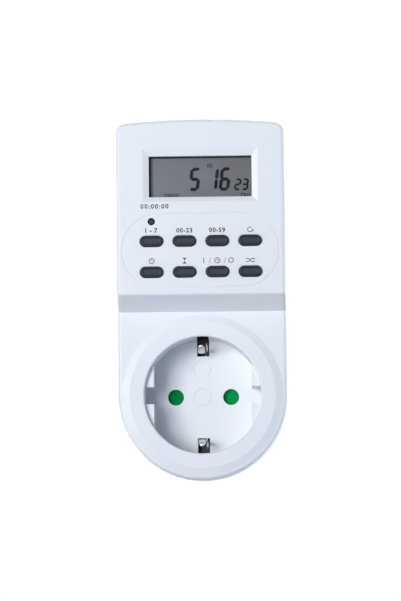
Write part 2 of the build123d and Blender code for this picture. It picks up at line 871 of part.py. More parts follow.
def press_key(x, z, name):
    """Oblong key cap with a retaining flange and a stem over its dome."""
    with BuildPart() as key:
        ovals([(x, z)], key_length, key_height, flange_front_y, key_front_y)
        rim = key.edges().filter_by(lambda edge: edge.center().Y < key_front_y + 0.01)
        fillet(rim, key_edge)
        flange_size = 2 * key_flange_margin
        ovals(
            [(x, z)],
            key_length + flange_size,
            key_height + flange_size,
            flange_back_y,
            flange_front_y,
        )
        rods([(x, z)], stem_radius, stem_end_y, flange_back_y)
    save(key, name)


for (key_x, key_z), key_name in zip(key_points, key_names):
    press_key(key_x, key_z, key_name)

with BuildPart() as reset_pin:
    reset_front_y = display_y + reset_sunk
    rods([(reset_x, reset_z)], reset_pin_radius, flange_front_y, reset_front_y)
    pin_rim = reset_pin.edges().filter_by(lambda edge: edge.center().Y < reset_front_y + 0.01)
    fillet(pin_rim, reset_edge)
    rods([(reset_x, reset_z)], 2 * reset_pin_radius, flange_back_y, flange_front_y)
    rods([(reset_x, reset_z)], reset_stem_radius, stem_end_y, flange_back_y)
save(reset_pin, "reset_pin")

# ================================================================ key mat
mat_front_y = control_front_y - mat_thickness
dome_front_y = mat_front_y - dome_height
mat_side_margin = 4.0
mat_end_margin = 3.4
mat_corner = 1.5
dome_foot_radius = 2.7
dome_top_radius = 1.5
mat_half = 1.5 * key_pitch + mat_side_margin
mat_low_z = key_row_z[1] - mat_end_margin
mat_high_z = reset_z + mat_end_margin

with BuildPart() as keypad_mat:
    bars(
        [(0, (mat_low_z + mat_high_z) / 2)],
        2 * mat_half,
        mat_high_z - mat_low_z,
        control_front_y,
        mat_front_y,
        corner=mat_corner,
    )
    for dome_x, dome_z in [*key_points, (reset_x, reset_z)]:
        with BuildSketch(facing_front(mat_front_y)):
            with Locations((dome_x, dome_z)):
                Circle(dome_foot_radius)
        with BuildSketch(facing_front(dome_front_y)):
            with Locations((dome_x, dome_z)):
                Circle(dome_top_radius)
        loft()
save(keypad_mat, "keypad_mat")

# ================================================================ display stack
pane_y = display_inner_y + pane_thickness
glass_front_y = pane_y + glass_gap
glass_back_y = glass_front_y + glass_thickness

with BuildPart() as lcd_window:
    bars(
        [(0, window_z)],
        window_width + 2 * pane_margin,
        window_height + 2 * pane_margin,
        pane_y,
        display_inner_y,
        corner=pane_corner,
    )
save(lcd_window, "lcd_window")

with BuildPart() as lcd_panel:
    half_glass = (glass_front_y + glass_back_y) / 2
    front_sheet = glass_height - 2 * glass_ledge
    bars([(0, window_z)], glass_width, glass_height, glass_back_y, half_glass)
    bars([(0, window_z)], glass_width, front_sheet, half_glass, glass_front_y)
save(lcd_panel, "lcd_panel")

zebra_width = 1.8
zebra_end = 1.5  # side edge of the glass to the end of a strip
zebra_edge = 0.4  # upper or lower edge of the glass to a strip
zebra_rib = 1.0  # rib between a strip and the opening of the holder
zebra_length = glass_width - 2 * zebra_end
zebra_z = glass_height / 2 - zebra_width / 2 - zebra_edge
zebra_points = [(0, window_z - zebra_z), (0, window_z + zebra_z)]

with BuildPart() as zebra_strips:
    bars(zebra_points, zebra_length, zebra_width, control_front_y, glass_back_y)
save(zebra_strips, "zebra_strips")

with BuildPart() as lcd_holder:
    bars(
        [(0, window_z)],
        holder_width,
        holder_height,
        control_front_y,
        glass_front_y,
        corner=holder_corner,
    )
    bars(
        [(0, window_z)],
        glass_width + 2 * holder_gap,
        glass_height + 2 * holder_gap,
        glass_back_y,
        glass_front_y,
        Mode.SUBTRACT,
    )
    bars(
        [(0, window_z)],
        glass_width - 2 * holder_rim,
        2 * (zebra_z - zebra_width / 2 - zebra_rib),
        control_front_y,
        glass_back_y,
        Mode.SUBTRACT,
    )
    bars(
        zebra_points,
        zebra_length + 2 * holder_gap,
        zebra_width + 2 * holder_gap,
        control_front_y,
        glass_back_y,
        Mode.SUBTRACT,
    )
save(lcd_holder, "lcd_holder")

# ================================================================ control board
control_half = inner_half - board_gap
control_middle_z = (control_bottom_z + control_top_z) / 2
board_corner = 1.0
chip_point = (6.0, 50.0)
chip_radius = 5.5
chip_height = 1.6
chip_round = 1.28
crystal_point = (-8.0, 50.0)
crystal_radius = 1.0
crystal_length = 6.0
crystal_edge = 0.25
small_part_length = 2.0
small_part_width = 1.25
small_part_height = 0.7
small_part_points = [
    (-16.0, 46.0),
    (-16.0, 50.0),
    (-16.0, 56.0),
    (-2.0, 40.0),
    (2.5, 40.0),
    (16.0, 44.0),
    (16.0, 52.0),
]

with BuildPart() as control_board:
    bars(
        [(0, control_middle_z)],
        2 * control_half,
        control_top_z - control_bottom_z,
        control_back_y,
        control_front_y,
        corner=board_corner,
    )
    rods(board_post_points, board_hole, control_back_y, control_front_y, Mode.SUBTRACT)
save(control_board, "control_board")

with BuildPart() as board_screws:
    screws(
        board_post_points,
        control_back_y,
        1,
        board_screw_radius,
        board_screw_length,
        board_head_radius,
        board_head_height,
    )
save(board_screws, "board_screws")

with BuildPart() as controller_chip:
    chip_back_y = control_back_y + chip_height
    rods([chip_point], chip_radius, chip_back_y, control_back_y)
    blob_edge = controller_chip.edges().filter_by(lambda edge: edge.center().Y > chip_back_y - 0.01)
    fillet(blob_edge, chip_round)
save(controller_chip, "controller_chip")

with BuildPart() as crystal:
    crystal_y = control_back_y + crystal_radius
    with Locations((crystal_point[0], crystal_y, crystal_point[1])):
        Cylinder(crystal_radius, crystal_length)
    fillet(crystal.edges(), crystal_edge)
save(crystal, "crystal")

with BuildPart() as control_board_parts:
    with BuildSketch(facing_front(control_back_y + small_part_height)):
        with Locations(*small_part_points):
            Rectangle(small_part_length, small_part_width)
    extrude(amount=small_part_height)
save(control_board_parts, "control_board_parts")

# ================================================================ backup battery
cell_radius = 7.7
cell_height = 5.4
cell_z = 70.0
cell_edge = 0.6
cell_tab = 0.3
tab_bar = 3.0
tab_reach = 3.0  # side of the cell to the end of the lower tab
upper_tab_start = -3.0
upper_tab_gap = 1.2  # side of the cell to the leg of the upper tab
cell_front_y = control_back_y + cell_tab
cell_back_y = cell_front_y + cell_height

with BuildPart() as backup_battery:
    rods([(0, cell_z)], cell_radius, cell_back_y, cell_front_y)
    fillet(backup_battery.edges(), cell_edge)
save(backup_battery, "backup_battery")

with BuildPart() as battery_tabs:
    reach = cell_radius + tab_reach
    bars([(-reach / 2, cell_z)], reach, tab_bar, cell_front_y, control_back_y)
    with BuildSketch(Plane.XY.offset(cell_z - tab_bar / 2)):
        with BuildLine() as tab_line:
            tab_corner_y = cell_back_y + cell_tab / 2
            tab_corner_x = cell_radius + upper_tab_gap
            Polyline(
                (upper_tab_start, tab_corner_y),
                (tab_corner_x, tab_corner_y),
                (tab_corner_x, control_back_y),
            )
        trace(tab_line.line, cell_tab)
    extrude(amount=tab_bar)
save(battery_tabs, "battery_tabs")

# ================================================================ power board
power_half = inner_half - power_edge_gap
power_middle_z = (power_bottom_z + power_top_z) / 2
lead_radius = 0.4
lead_gap = 0.05
lead_tail = 1.2  # how far each lead stands out behind the board
lead_end_y = power_back_y + lead_tail
lead_root = 0.2  # how far each lead runs up into its component

relay_point = (-8.0, 46.3)
relay_size = (19.0, 15.4, 15.3)  # along X, Z and Y
relay_leads = [(-14.0, 41.0), (-2.0, 41.0), (-14.0, 51.5), (-8.0, 51.5), (-2.0, 51.5)]
film_point = (12.5, 44.5)
film_size = (17.5, 8.0, 14.5)
film_pitch = 13.0
can_point = (13.5, 56.5)
can_radius = 5.0
can_height = 16.0
can_pitch = 4.0
varistor_point = (-16.0, 59.0)
varistor_radius = 5.0
varistor_thickness = 3.6
varistor_edge = 1.0
varistor_foot = 1.0
varistor_pitch = 5.0
fuse_point = (-4.0, 59.0)
fuse_size = (8.4, 4.3, 7.7)
fuse_pitch = 5.2
transistor_point = (4.0, 61.0)
transistor_radius = 2.3
transistor_flat = 1.1  # middle to the flat side
transistor_height = 4.6
diode_points = [(-6.0, 69.0), (-2.0, 69.0), (2.0, 69.0), (6.0, 69.0)]
diode_radius = 1.35
diode_length = 5.2
resistor_points = [(-16.0, 71.0), (-11.0, 71.0)]
resistor_radius = 1.9
resistor_length = 9.5
box_corner = 0.5
box_edge = 0.4
header_x = 15.0
power_header_z = 73.0
control_header_z = 64.5
header_size = (8.4, 3.4, 4.2)
header_pitch = 2.5

film_leads = [(film_point[0] + side * film_pitch / 2, film_point[1]) for side in (-1, 1)]
can_leads = [(can_point[0] + side * can_pitch / 2, can_point[1]) for side in (-1, 1)]
fuse_leads = [(fuse_point[0] + side * fuse_pitch / 2, fuse_point[1]) for side in (-1, 1)]
varistor_leads = [
    (varistor_point[0], varistor_point[1] + side * varistor_pitch / 2) for side in (-1, 1)
]
header_leads = [(header_x + step * header_pitch, power_header_z) for step in (-1, 0, 1)]
all_leads = [*relay_leads, *film_leads, *can_leads, *varistor_leads, *fuse_leads, *header_leads]

with BuildPart() as power_board:
    bars(
        [(0, power_middle_z)],
        2 * power_half,
        power_top_z - power_bottom_z,
        power_back_y,
        power_front_y,
        corner=board_corner,
    )
    rods(power_post_points, board_hole, power_back_y, power_front_y, Mode.SUBTRACT)
    rods(all_leads, lead_radius + lead_gap, power_back_y, power_front_y, Mode.SUBTRACT)
save(power_board, "power_board")

with BuildPart() as power_board_screws:
    screws(
        power_post_points,
        power_front_y,
        -1,
        board_screw_radius,
        board_screw_length,
        board_head_radius,
        board_head_height,
    )
save(power_board_screws, "power_board_screws")


def leads(points):
    """Wire leads from a component on the front of the power board through its holes."""
    rods(points, lead_radius, lead_end_y, power_front_y - lead_root)


def box_part(point, size, lead_points, name):
    """Box-shaped component on the power board, with a softened front and its leads."""
    width, height, rise = size
    front_y = power_front_y - rise
    with BuildPart() as box:
        bars([point], width, height, power_front_y, front_y, corner=box_corner)
        fillet(box.edges().filter_by(lambda edge: edge.center().Y < front_y + 0.01), box_edge)
        leads(lead_points)
    save(box, name)


def lying_parts(points, radius, length, name):
    """Round components that lie on the power board along Z."""
    with BuildPart() as lying:
        with Locations(*[(x, power_front_y - radius, z) for x, z in points]):
            Cylinder(radius, length)
    save(lying, name)


box_part(relay_point, relay_size, relay_leads, "relay")
box_part(film_point, film_size, film_leads, "film_capacitor")
box_part(fuse_point, fuse_size, fuse_leads, "board_fuse")
lying_parts(diode_points, diode_radius, diode_length, "rectifier_diodes")
lying_parts(resistor_points, resistor_radius, resistor_length, "dropper_resistors")

with BuildPart() as smoothing_capacitor:
    can_y = power_front_y - can_height
    rods([can_point], can_radius, power_front_y, can_y)
    can_top = smoothing_capacitor.edges().filter_by(lambda edge: edge.center().Y < can_y + 0.01)
    fillet(can_top, box_edge)
    leads(can_leads)
save(smoothing_capacitor, "smoothing_capacitor")

with BuildPart() as varistor:
    disc_y = power_front_y - varistor_radius - varistor_foot
    with Locations(Location((varistor_point[0], disc_y, varistor_point[1]), (0, 90, 0))):
        Cylinder(varistor_radius, varistor_thickness)
    fillet(varistor.edges().filter_by(GeomType.CIRCLE), varistor_edge)
    rods(varistor_leads, lead_radius, lead_end_y, disc_y)
save(varistor, "varistor")

with BuildPart() as relay_transistor:
    with BuildSketch(facing_front(power_front_y)):
        with Locations(transistor_point):
            Circle(transistor_radius)
            with Locations((0, 2 * transistor_flat)):
                Rectangle(3 * transistor_radius, 2 * transistor_flat, mode=Mode.SUBTRACT)
    extrude(amount=transistor_height)
save(relay_transistor, "relay_transistor")

# ================================================================ ribbon cable between the boards
ribbon_width = 6.0
ribbon_thickness = 1.1
ribbon_bend = 2.6
header_width, header_depth, header_height = header_size

with BuildPart() as ribbon_headers:
    power_header_y = power_front_y - header_height
    control_header_y = control_back_y + header_height
    bars([(header_x, power_header_z)], header_width, header_depth, power_front_y, power_header_y)
    leads(header_leads)
    bars([(header_x, control_header_z)], header_width, header_depth, control_header_y, control_back_y)
save(ribbon_headers, "ribbon_headers")

with BuildPart() as ribbon_cable:
    middle_y = (power_front_y + control_back_y) / 2
    ribbon_points = [
        (power_header_y, power_header_z),
        (middle_y, power_header_z),
        (middle_y, control_header_z),
        (control_header_y, control_header_z),
    ]
    bent_strip(header_x, ribbon_points, ribbon_bend, ribbon_thickness, ribbon_width)
save(ribbon_cable, "ribbon_cable")

# ================================================================ insulated wires
wire_radius = 1.1
wire_gap = 0.05
wire_wall_gap = 0.95  # rear wall to a wire that runs up behind the carrier
wire_lead_in = 2.6  # end of a wire to the contact or tab it is soldered to
wire_bend = 4.0
switched_bend = 3.5
route_bend = 5.0
end_bend = 2.0
wire_y = rear_inner_y - wire_wall_gap - wire_radius
wire_seat_z = tab_arm_z + tab_thickness / 2 + wire_radius + wire_gap
wire_end_lift = 4.0  # lower edge of the power board to the ends of the supply wires
switched_end_lift = 12.0
switched_side_gap = 3.0  # inner side wall to the middle of the wire beside the socket
switched_low_z = -2.0  # where the wire reaches the side wall
switched_drop = 12.0  # lower edge of the board to where the wire leaves the side wall
switched_entry_drop = 1.0
wire_end_z = power_bottom_z + wire_end_lift
switched_seat_z = switched_arm_z - tab_thickness / 2 - wire_radius - wire_gap
switched_end_z = power_bottom_z + switched_end_lift
switched_end_x = -14.0
side_x = inner_half - switched_side_gap


def supply_wire(x, name):
    """Wire from a tab in the boss, behind the carrier and up to the back of the power board."""
    with BuildPart() as supply:
        wire(
            [
                (x, tab_y - wire_lead_in, wire_seat_z),
                (x, wire_y, wire_seat_z),
                (x, wire_y, wire_end_z),
                (x, power_back_y, wire_end_z),
            ],
            [wire_bend, end_bend],
            wire_radius,
        )
    save(supply, name)


supply_wire(-pin_x, "feed_wire")
supply_wire(pin_x, "neutral_wire")

with BuildPart() as switched_wire:
    wire(
        [
            (-pin_x, switched_arm_y + wire_lead_in, switched_seat_z),
            (-pin_x, wire_y, switched_seat_z),
            (-side_x, wire_y, switched_low_z),
            (-side_x, wire_y, power_bottom_z - switched_drop),
            (switched_end_x, wire_y, power_bottom_z - switched_entry_drop),
            (switched_end_x, wire_y, switched_end_z),
            (switched_end_x, power_back_y, switched_end_z),
        ],
        [switched_bend, route_bend, route_bend, route_bend, end_bend],
        wire_radius,
    )
save(switched_wire, "switched_wire")
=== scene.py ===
# %% [markdown]
# # A digital plug-in timer, finished in Blender
#
# The timer is a white two-shell housing with a display, eight oblong keys and a round socket in
# front, and a round plug with two pins behind. Its measured pieces come from a CAD model that is
# already in the right place, so this script only has to give them their looks: new surfaces where
# the real piece has more shape than the CAD solid, and a material with its own grain everywhere.
# Lengths below are written in millimetres and turned into metres when a mesh is made.

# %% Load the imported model
import json
import math

import bmesh
import bpy
import numpy as np
from mathutils import Matrix, Vector


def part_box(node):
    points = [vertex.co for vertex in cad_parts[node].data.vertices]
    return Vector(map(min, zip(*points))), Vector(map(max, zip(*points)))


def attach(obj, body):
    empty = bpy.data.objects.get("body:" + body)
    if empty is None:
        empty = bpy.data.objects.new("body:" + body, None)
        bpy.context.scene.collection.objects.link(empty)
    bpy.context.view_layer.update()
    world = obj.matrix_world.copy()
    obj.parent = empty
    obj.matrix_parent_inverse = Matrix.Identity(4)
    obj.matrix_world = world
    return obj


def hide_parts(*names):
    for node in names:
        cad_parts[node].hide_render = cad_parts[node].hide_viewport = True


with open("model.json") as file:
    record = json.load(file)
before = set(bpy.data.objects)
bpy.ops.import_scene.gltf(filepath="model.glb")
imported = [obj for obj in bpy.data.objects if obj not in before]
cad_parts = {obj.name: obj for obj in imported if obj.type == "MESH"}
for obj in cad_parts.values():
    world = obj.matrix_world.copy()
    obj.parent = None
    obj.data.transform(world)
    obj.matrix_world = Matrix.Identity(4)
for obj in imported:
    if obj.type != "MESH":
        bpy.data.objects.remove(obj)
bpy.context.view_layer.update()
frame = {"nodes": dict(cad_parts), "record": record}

nodes = frame["nodes"]
MM = 0.001

# %% [markdown]
# ## The depths that everything hangs on
#
# X runs to the right, Z up, and the display looks towards -Y. Each number is the Y of a face that
# a new piece sits on or has to stay clear of. Reading them from the model's own boxes keeps the
# new pieces in touch with their neighbours if the model changes.

# %% Depths of the main faces
display_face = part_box("front_housing")[0].y / MM
pane_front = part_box("lcd_window")[0].y / MM
pane_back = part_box("lcd_window")[1].y / MM
glass_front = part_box("lcd_panel")[0].y / MM
key_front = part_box("key_day")[0].y / MM
key_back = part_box("key_day")[1].y / MM
strap_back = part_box("earth_strap")[1].y / MM
print(f"display face {display_face:.1f}, pane {pane_front:.1f} to {pane_back:.1f}")
print(f"display glass {glass_front:.1f}, keys {key_front:.1f} to {key_back:.1f}")
print(f"earth strap ends at {strap_back:.1f}")

# %% [markdown]
# ## Surfaces on a grid
#
# Nearly every moulded or pressed piece is one outline carried through a row of positions. That
# makes a grid of points with rows and columns, and the faces join each point to its neighbours.
# Blender's own primitives would give plain cylinders and boxes, and a grid lets each row have its
# own size, so rims, dishes and rounded ends come out as real geometry.


# %% Grids, shells and pieces
def grid_faces(rows, columns, wrap_rows=False):
    """Quads between neighbours on a grid whose last column joins the first one."""
    last = rows if wrap_rows else rows - 1
    row, column = np.meshgrid(np.arange(last), np.arange(columns), indexing="ij")
    next_row, next_column = (row + 1) % rows, (column + 1) % columns
    corners = [
        row * columns + column,
        row * columns + next_column,
        next_row * columns + next_column,
        next_row * columns + column,
    ]
    return np.stack(corners, -1).reshape(-1, 4).tolist()


def shell(points, wrap_rows=False, end_caps=False):
    """Part from a (rows, columns, 3) grid. End caps close an open first and last row."""
    rows, columns = points.shape[:2]
    faces = grid_faces(rows, columns, wrap_rows)
    if end_caps:
        faces.append(list(range(columns)))
        faces.append(list(range((rows - 1) * columns, rows * columns)))
    return points.reshape(-1, 3), faces


merge_distance = 0.0005


def make_piece(name, parts, material, body, stands_for=(), sharp_angle=35.0):
    """Object from (points in millimetres, faces) parts, with doubles merged and faces outwards."""
    starts = np.cumsum([0] + [len(points) for points, faces in parts])
    corners = np.concatenate([points for points, faces in parts]) * MM
    faces = [
        [corner + int(start) for corner in face]
        for (points, part_faces), start in zip(parts, starts)
        for face in part_faces
    ]
    mesh = bpy.data.meshes.new(name)
    mesh.from_pydata(corners.tolist(), [], faces)
    merged = bmesh.new()
    merged.from_mesh(mesh)
    bmesh.ops.remove_doubles(merged, verts=merged.verts, dist=merge_distance * MM)
    bmesh.ops.dissolve_degenerate(merged, dist=merge_distance * MM, edges=merged.edges)
    bmesh.ops.recalc_face_normals(merged, faces=merged.faces)
    merged.to_mesh(mesh)
    merged.free()
    mesh.shade_smooth()
    mesh.set_sharp_from_angle(angle=math.radians(sharp_angle))
    mesh.materials.append(material)
    piece = bpy.data.objects.new(name, mesh)
    bpy.context.scene.collection.objects.link(piece)
    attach(piece, body)
    if stands_for:
        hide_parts(*stands_for)
    print(f"{name}: {len(mesh.vertices)} points, {len(mesh.polygons)} faces")


# %% [markdown]
# ## Building materials from nodes
#
# A moulded part is never one flat colour. Its tint drifts a little, its skin carries the grain of
# the mould, and its gloss changes where the grain is worn. All of that can be worked out from the
# point's place in the object, so no picture is needed and nothing slides when the camera moves.
# The few helpers below add nodes in one line each, which keeps every finish short to read.


# %% Node helpers
def add_node(tree, kind, inputs=None, **settings):
    """New node. An input is either another node's output, which is linked, or a plain value."""
    node = tree.nodes.new("ShaderNode" + kind)
    for setting, value in settings.items():
        setattr(node, setting, value)
    for socket, value in (inputs or {}).items():
        if isinstance(value, bpy.types.NodeSocket):
            tree.links.new(value, node.inputs[socket])
        else:
            node.inputs[socket].default_value = value
    return node


def new_finish(name, colour, roughness, **sockets):
    """Material, its node tree, its Principled shader and the object's own coordinates."""
    material = bpy.data.materials.new(name)
    material.use_nodes = True
    tree = material.node_tree
    shader = tree.nodes["Principled BSDF"]
    shader.inputs["Base Color"].default_value = (*colour, 1)
    shader.inputs["Roughness"].default_value = roughness
    for socket, value in sockets.items():
        shader.inputs[socket.replace("_", " ")].default_value = value
    place = add_node(tree, "TexCoord").outputs["Object"]
    return material, tree, shader, place


def noise(tree, place, size, detail=2.0, roughness=0.5):
    """Soft random pattern whose blotches are about size millimetres wide, from 0 to 1."""
    values = {"Vector": place, "Scale": 1 / (size * MM), "Detail": detail, "Roughness": roughness}
    return add_node(tree, "TexNoise", values).outputs["Fac"]


def remap(tree, value, low, high, new_low, new_high):
    """Moves a value from one range to another and stops at the new range's ends."""
    values = {1: low, 2: high, 3: new_low, 4: new_high, "Value": value}
    return add_node(tree, "MapRange", values).outputs[0]


def maths(tree, operation, first, second=0.0):
    """One sum on one or two values."""
    return add_node(tree, "Math", {0: first, 1: second}, operation=operation).outputs[0]


def mix_colours(tree, factor, first, second):
    """Blend of two colours, each an output or red, green and blue."""
    node = add_node(tree, "Mix", {"Factor": factor}, data_type="RGBA")
    for socket, colour in ((node.inputs[6], first), (node.inputs[7], second)):
        if isinstance(colour, bpy.types.NodeSocket):
            tree.links.new(colour, socket)
        else:
            socket.default_value = (*colour, 1)
    return node.outputs[2]


def split_place(tree, place):
    """The X, Y and Z of the point, in metres."""
    return add_node(tree, "SeparateXYZ", {"Vector": place}).outputs


def bump(tree, height, depth, strength=1.0, normal=None):
    """Surface relief: height 1 stands depth millimetres above height 0."""
    values = {"Height": height, "Distance": depth * MM, "Strength": strength}
    if normal is not None:
        values["Normal"] = normal
    return add_node(tree, "Bump", values).outputs["Normal"]


def plug_in(tree, shader, **outputs):
    """Links outputs to the shader's sockets of the same names."""
    for socket, output in outputs.items():
        tree.links.new(output, shader.inputs[socket.replace("_", " ")])


# %% [markdown]
# ## White ABS of the two shells
#
# The shells are moulded in cool white ABS. Up close the skin shows the fine spark-eroded grain of
# the steel mould, and at arm's length it only looks satin. Three noises do that: a very fine one
# for the grain, one of a few millimetres for the uneven gloss, and a wide one for the faint drift
# of tint and the slight sink of the walls. The groove where the shells meet is darkened with dust
# and painted shade. The Bevel node rounds the sharpest edges a tenth of a millimetre, so they
# catch light as edges do.

# %% The white shells
shell_white = (0.80, 0.832, 0.895)
shell_warm = (0.81, 0.832, 0.875)
# Dusty grey of the parting groove, which stands for dust and painted shade.
groove_dust_and_shade = (0.52, 0.52, 0.51)
parting_depth = -30.0
groove_half = 0.28
groove_core = 0.1
edge_rounding = 0.12


def shell_finish():
    """White that drifts from cool to warm, dust and painted shade in the parting groove, and the
    mould's grain.
    """
    finish, tree, shader, place = new_finish("white_abs", shell_white, 0.42)
    tint = remap(tree, noise(tree, place, 35.0), 0.35, 0.65, 0.0, 1.0)
    drift = mix_colours(tree, tint, shell_white, shell_warm)
    depth = split_place(tree, place)["Y"]
    # Dust and painted shade: the colour darkens towards the dusty grey inside the parting groove.
    off_groove = maths(tree, "ABSOLUTE", maths(tree, "SUBTRACT", depth, parting_depth * MM))
    near = remap(tree, off_groove, groove_core * MM, groove_half * MM, 0.7, 0.0)
    dust_and_shade = maths(tree, "MULTIPLY", near, noise(tree, place, 1.5, 4.0))
    colour = mix_colours(tree, dust_and_shade, drift, groove_dust_and_shade)
    grain = noise(tree, place, 0.22, 3.0, 0.6)
    gloss = remap(tree, noise(tree, place, 4.0, 4.0, 0.6), 0.3, 0.7, 0.36, 0.47)
    rounded = add_node(tree, "Bevel", {"Radius": edge_rounding * MM}, samples=4).outputs["Normal"]
    sink = bump(tree, noise(tree, place, 14.0, 1.0), 0.05, 0.5, rounded)
    skin = bump(tree, grain, 0.012, 0.35, sink)
    plug_in(tree, shader, Base_Color=colour, Roughness=gloss, Normal=skin)
    return finish


white_abs = shell_finish()
print("finish:", white_abs.name)

# %% [markdown]
# ## A family of plain moulded plastics and rubbers
#
# The key caps, the shutter and most hidden parts are moulded too, in other colours and softer or
# harder grades. One recipe with four numbers covers them: how far the colour drifts, how coarse
# the grain is, how deep it is, and how rough the skin is. Only the recipe's numbers differ.


# %% Moulded plastics
def moulded(name, colour, roughness, grain=0.25, depth=0.01, drift=0.12, **sockets):
    """Moulded plastic: colour drifts by a share, gloss wanders, and the skin has a fine grain."""
    finish, tree, shader, place = new_finish(name, colour, roughness, **sockets)
    darker = tuple(channel * (1 - drift) for channel in colour)
    lighter = tuple(min(1.0, channel * (1 + drift)) for channel in colour)
    blotch = remap(tree, noise(tree, place, 3.0, 3.0), 0.3, 0.7, 0.0, 1.0)
    tint = mix_colours(tree, blotch, darker, lighter)
    gloss = noise(tree, place, 1.2, 4.0, 0.6)
    wander = remap(tree, gloss, 0.3, 0.7, roughness - 0.05, roughness + 0.06)
    skin = bump(tree, noise(tree, place, grain, 3.0, 0.6), depth, 0.5)
    plug_in(tree, shader, Base_Color=tint, Roughness=wander, Normal=skin)
    return finish


key_rubber = moulded(
    "key_rubber", (0.015, 0.020, 0.033), 0.40, grain=0.18, depth=0.008, Specular_IOR_Level=0.28
)
shutter_green = moulded(
    "shutter_green", (0.0, 0.285, 0.075), 0.42, drift=0.08, Specular_IOR_Level=0.02
)
carrier_black = moulded("carrier_black", (0.030, 0.022, 0.025), 0.50)
print("finishes:", key_rubber.name, shutter_green.name, carrier_black.name)

# %% [markdown]
# ## Rolled, drawn and plated metals
#
# Metal strip keeps the lines of the rollers that made it, and a turned pin keeps the rings of the
# lathe. Both are a noise stretched along one axis: the Mapping node squeezes the coordinates in
# the direction of the lines, and the same pattern drives the gloss and a very shallow relief.


# %% Metals with a brushed direction
tarnish = 0.3


def brushed(name, colour, roughness, along=(1, 1, 1), pitch=0.06, depth=0.003):
    """Metal with fine lines, stretched on each axis by along, and darker where it is tarnished."""
    finish, tree, shader, place = new_finish(name, colour, roughness, Metallic=1.0)
    stretched = add_node(tree, "Mapping", {"Vector": place, "Scale": along}).outputs["Vector"]
    lines = noise(tree, stretched, pitch, 3.0, 0.6)
    dull = tuple(channel * (1 - tarnish) for channel in colour)
    patches = remap(tree, noise(tree, place, 2.5, 4.0, 0.6), 0.45, 0.75, 0.0, 0.8)
    tint = mix_colours(tree, patches, colour, dull)
    gloss = remap(tree, lines, 0.3, 0.7, roughness - 0.07, roughness + 0.1)
    relief = bump(tree, lines, depth, 0.5)
    plug_in(tree, shader, Base_Color=tint, Roughness=gloss, Normal=relief)
    return finish


tinned_strip = brushed("tinned_strip", (0.74, 0.73, 0.72), 0.34, along=(1, 0.08, 0.08))
nickel_pins = brushed("nickel_pins", (0.72, 0.71, 0.68), 0.20, along=(0.15, 1, 0.15), depth=0.002)
screw_steel = brushed("screw_steel", (0.52, 0.52, 0.53), 0.34, pitch=0.12, depth=0.004)
print("finishes:", tinned_strip.name, nickel_pins.name, screw_steel.name)

# %% [markdown]
# ## Glass of the display
#
# Behind the window lies the display glass: a grey polariser film on a sheet of glass, with a black
# seal round its edge. The film scatters light, so it looks like satin grey card under a thin coat.
# The sheet stands a little off centre behind the window, which shows a sliver of the seal along
# the top and the left; the black band there is partly that seal and partly painted shadow of the
# window's edges. It is a step in the colour at a fixed place on the sheet, and a softer painted
# shade darkens the film near the top.

# %% The display glass
film_grey = (0.212, 0.226, 0.247)
# Darker grey of the film. It is used for the film's darkening to the right and for the painted
# shade near the top.
film_dark_and_shade = (0.166, 0.164, 0.175)
# Black of the band along the top and the left: partly seal, partly painted shadow.
seal_and_shadow_black = (0.008, 0.011, 0.016)
# Places on the sheet: the edges of the black band of seal and painted shadow, half the width over
# which each of them fades, and the ends of the film's two shades, from left to right and, for the
# painted shade near the top, from low to high.
seal_and_shadow_left = -16.8
seal_and_shadow_top = 79.8
seal_and_shadow_blur_left, seal_and_shadow_blur_top = 0.12, 0.08
shade_left, shade_right = -15, 17
shade_low, shade_high = 74, 80


def display_finish():
    """Grey film, darker to the right and with painted shade near the top, and a black band at two
    edges that is partly the sealing edge and partly painted shadow.
    """
    finish, tree, shader, place = new_finish(
        "display_film", film_grey, 0.34, Specular_IOR_Level=0.05
    )
    axis = split_place(tree, place)
    across = remap(tree, axis["X"], shade_left * MM, shade_right * MM, 0.0, 0.7)
    cloud = remap(tree, noise(tree, place, 12.0, 2.0), 0.35, 0.65, 0.0, 0.3)
    # Painted shade: the film darkens towards the top edge of the window.
    painted_top_shade = remap(tree, axis["Z"], shade_low * MM, shade_high * MM, 0.0, 0.35)
    shade = maths(tree, "ADD", maths(tree, "ADD", across, cloud), painted_top_shade)
    film = mix_colours(tree, shade, film_grey, film_dark_and_shade)
    left_ends = ((seal_and_shadow_left - seal_and_shadow_blur_left) * MM, (seal_and_shadow_left + seal_and_shadow_blur_left) * MM)
    left = remap(tree, axis["X"], *left_ends, 1.0, 0.0)
    top_ends = ((seal_and_shadow_top - seal_and_shadow_blur_top) * MM, (seal_and_shadow_top + seal_and_shadow_blur_top) * MM)
    top = remap(tree, axis["Z"], *top_ends, 0.0, 1.0)
    # Black band at the top and left edges: partly the seal, partly painted shadow of the window's
    # edges.
    seal_and_shadow = maths(tree, "MAXIMUM", left, top)
    colour = mix_colours(tree, seal_and_shadow, film, seal_and_shadow_black)
    gloss = remap(tree, noise(tree, place, 0.5, 3.0), 0.3, 0.7, 0.30, 0.38)
    skin = bump(tree, noise(tree, place, 0.12, 2.0), 0.002, 0.4)
    plug_in(tree, shader, Base_Color=colour, Roughness=gloss, Normal=skin)
    return finish


display_film = display_finish()
print("finish:", display_film.name)

# %% [markdown]
# ## The clear pane
#
# The pane is clear acrylic. A transmission shader bends and reflects light properly, and its only
# trouble is the light behind it: a path tracer finds almost none through a solid clear sheet. So
# rays that look for a lamp, and rays that left a matt surface behind the pane, go straight
# through, and every other ray meets acrylic with the odd hair-thin wiping mark in its gloss. The
# index of refraction is set low, or the white room would lie over the dark display like a veil.


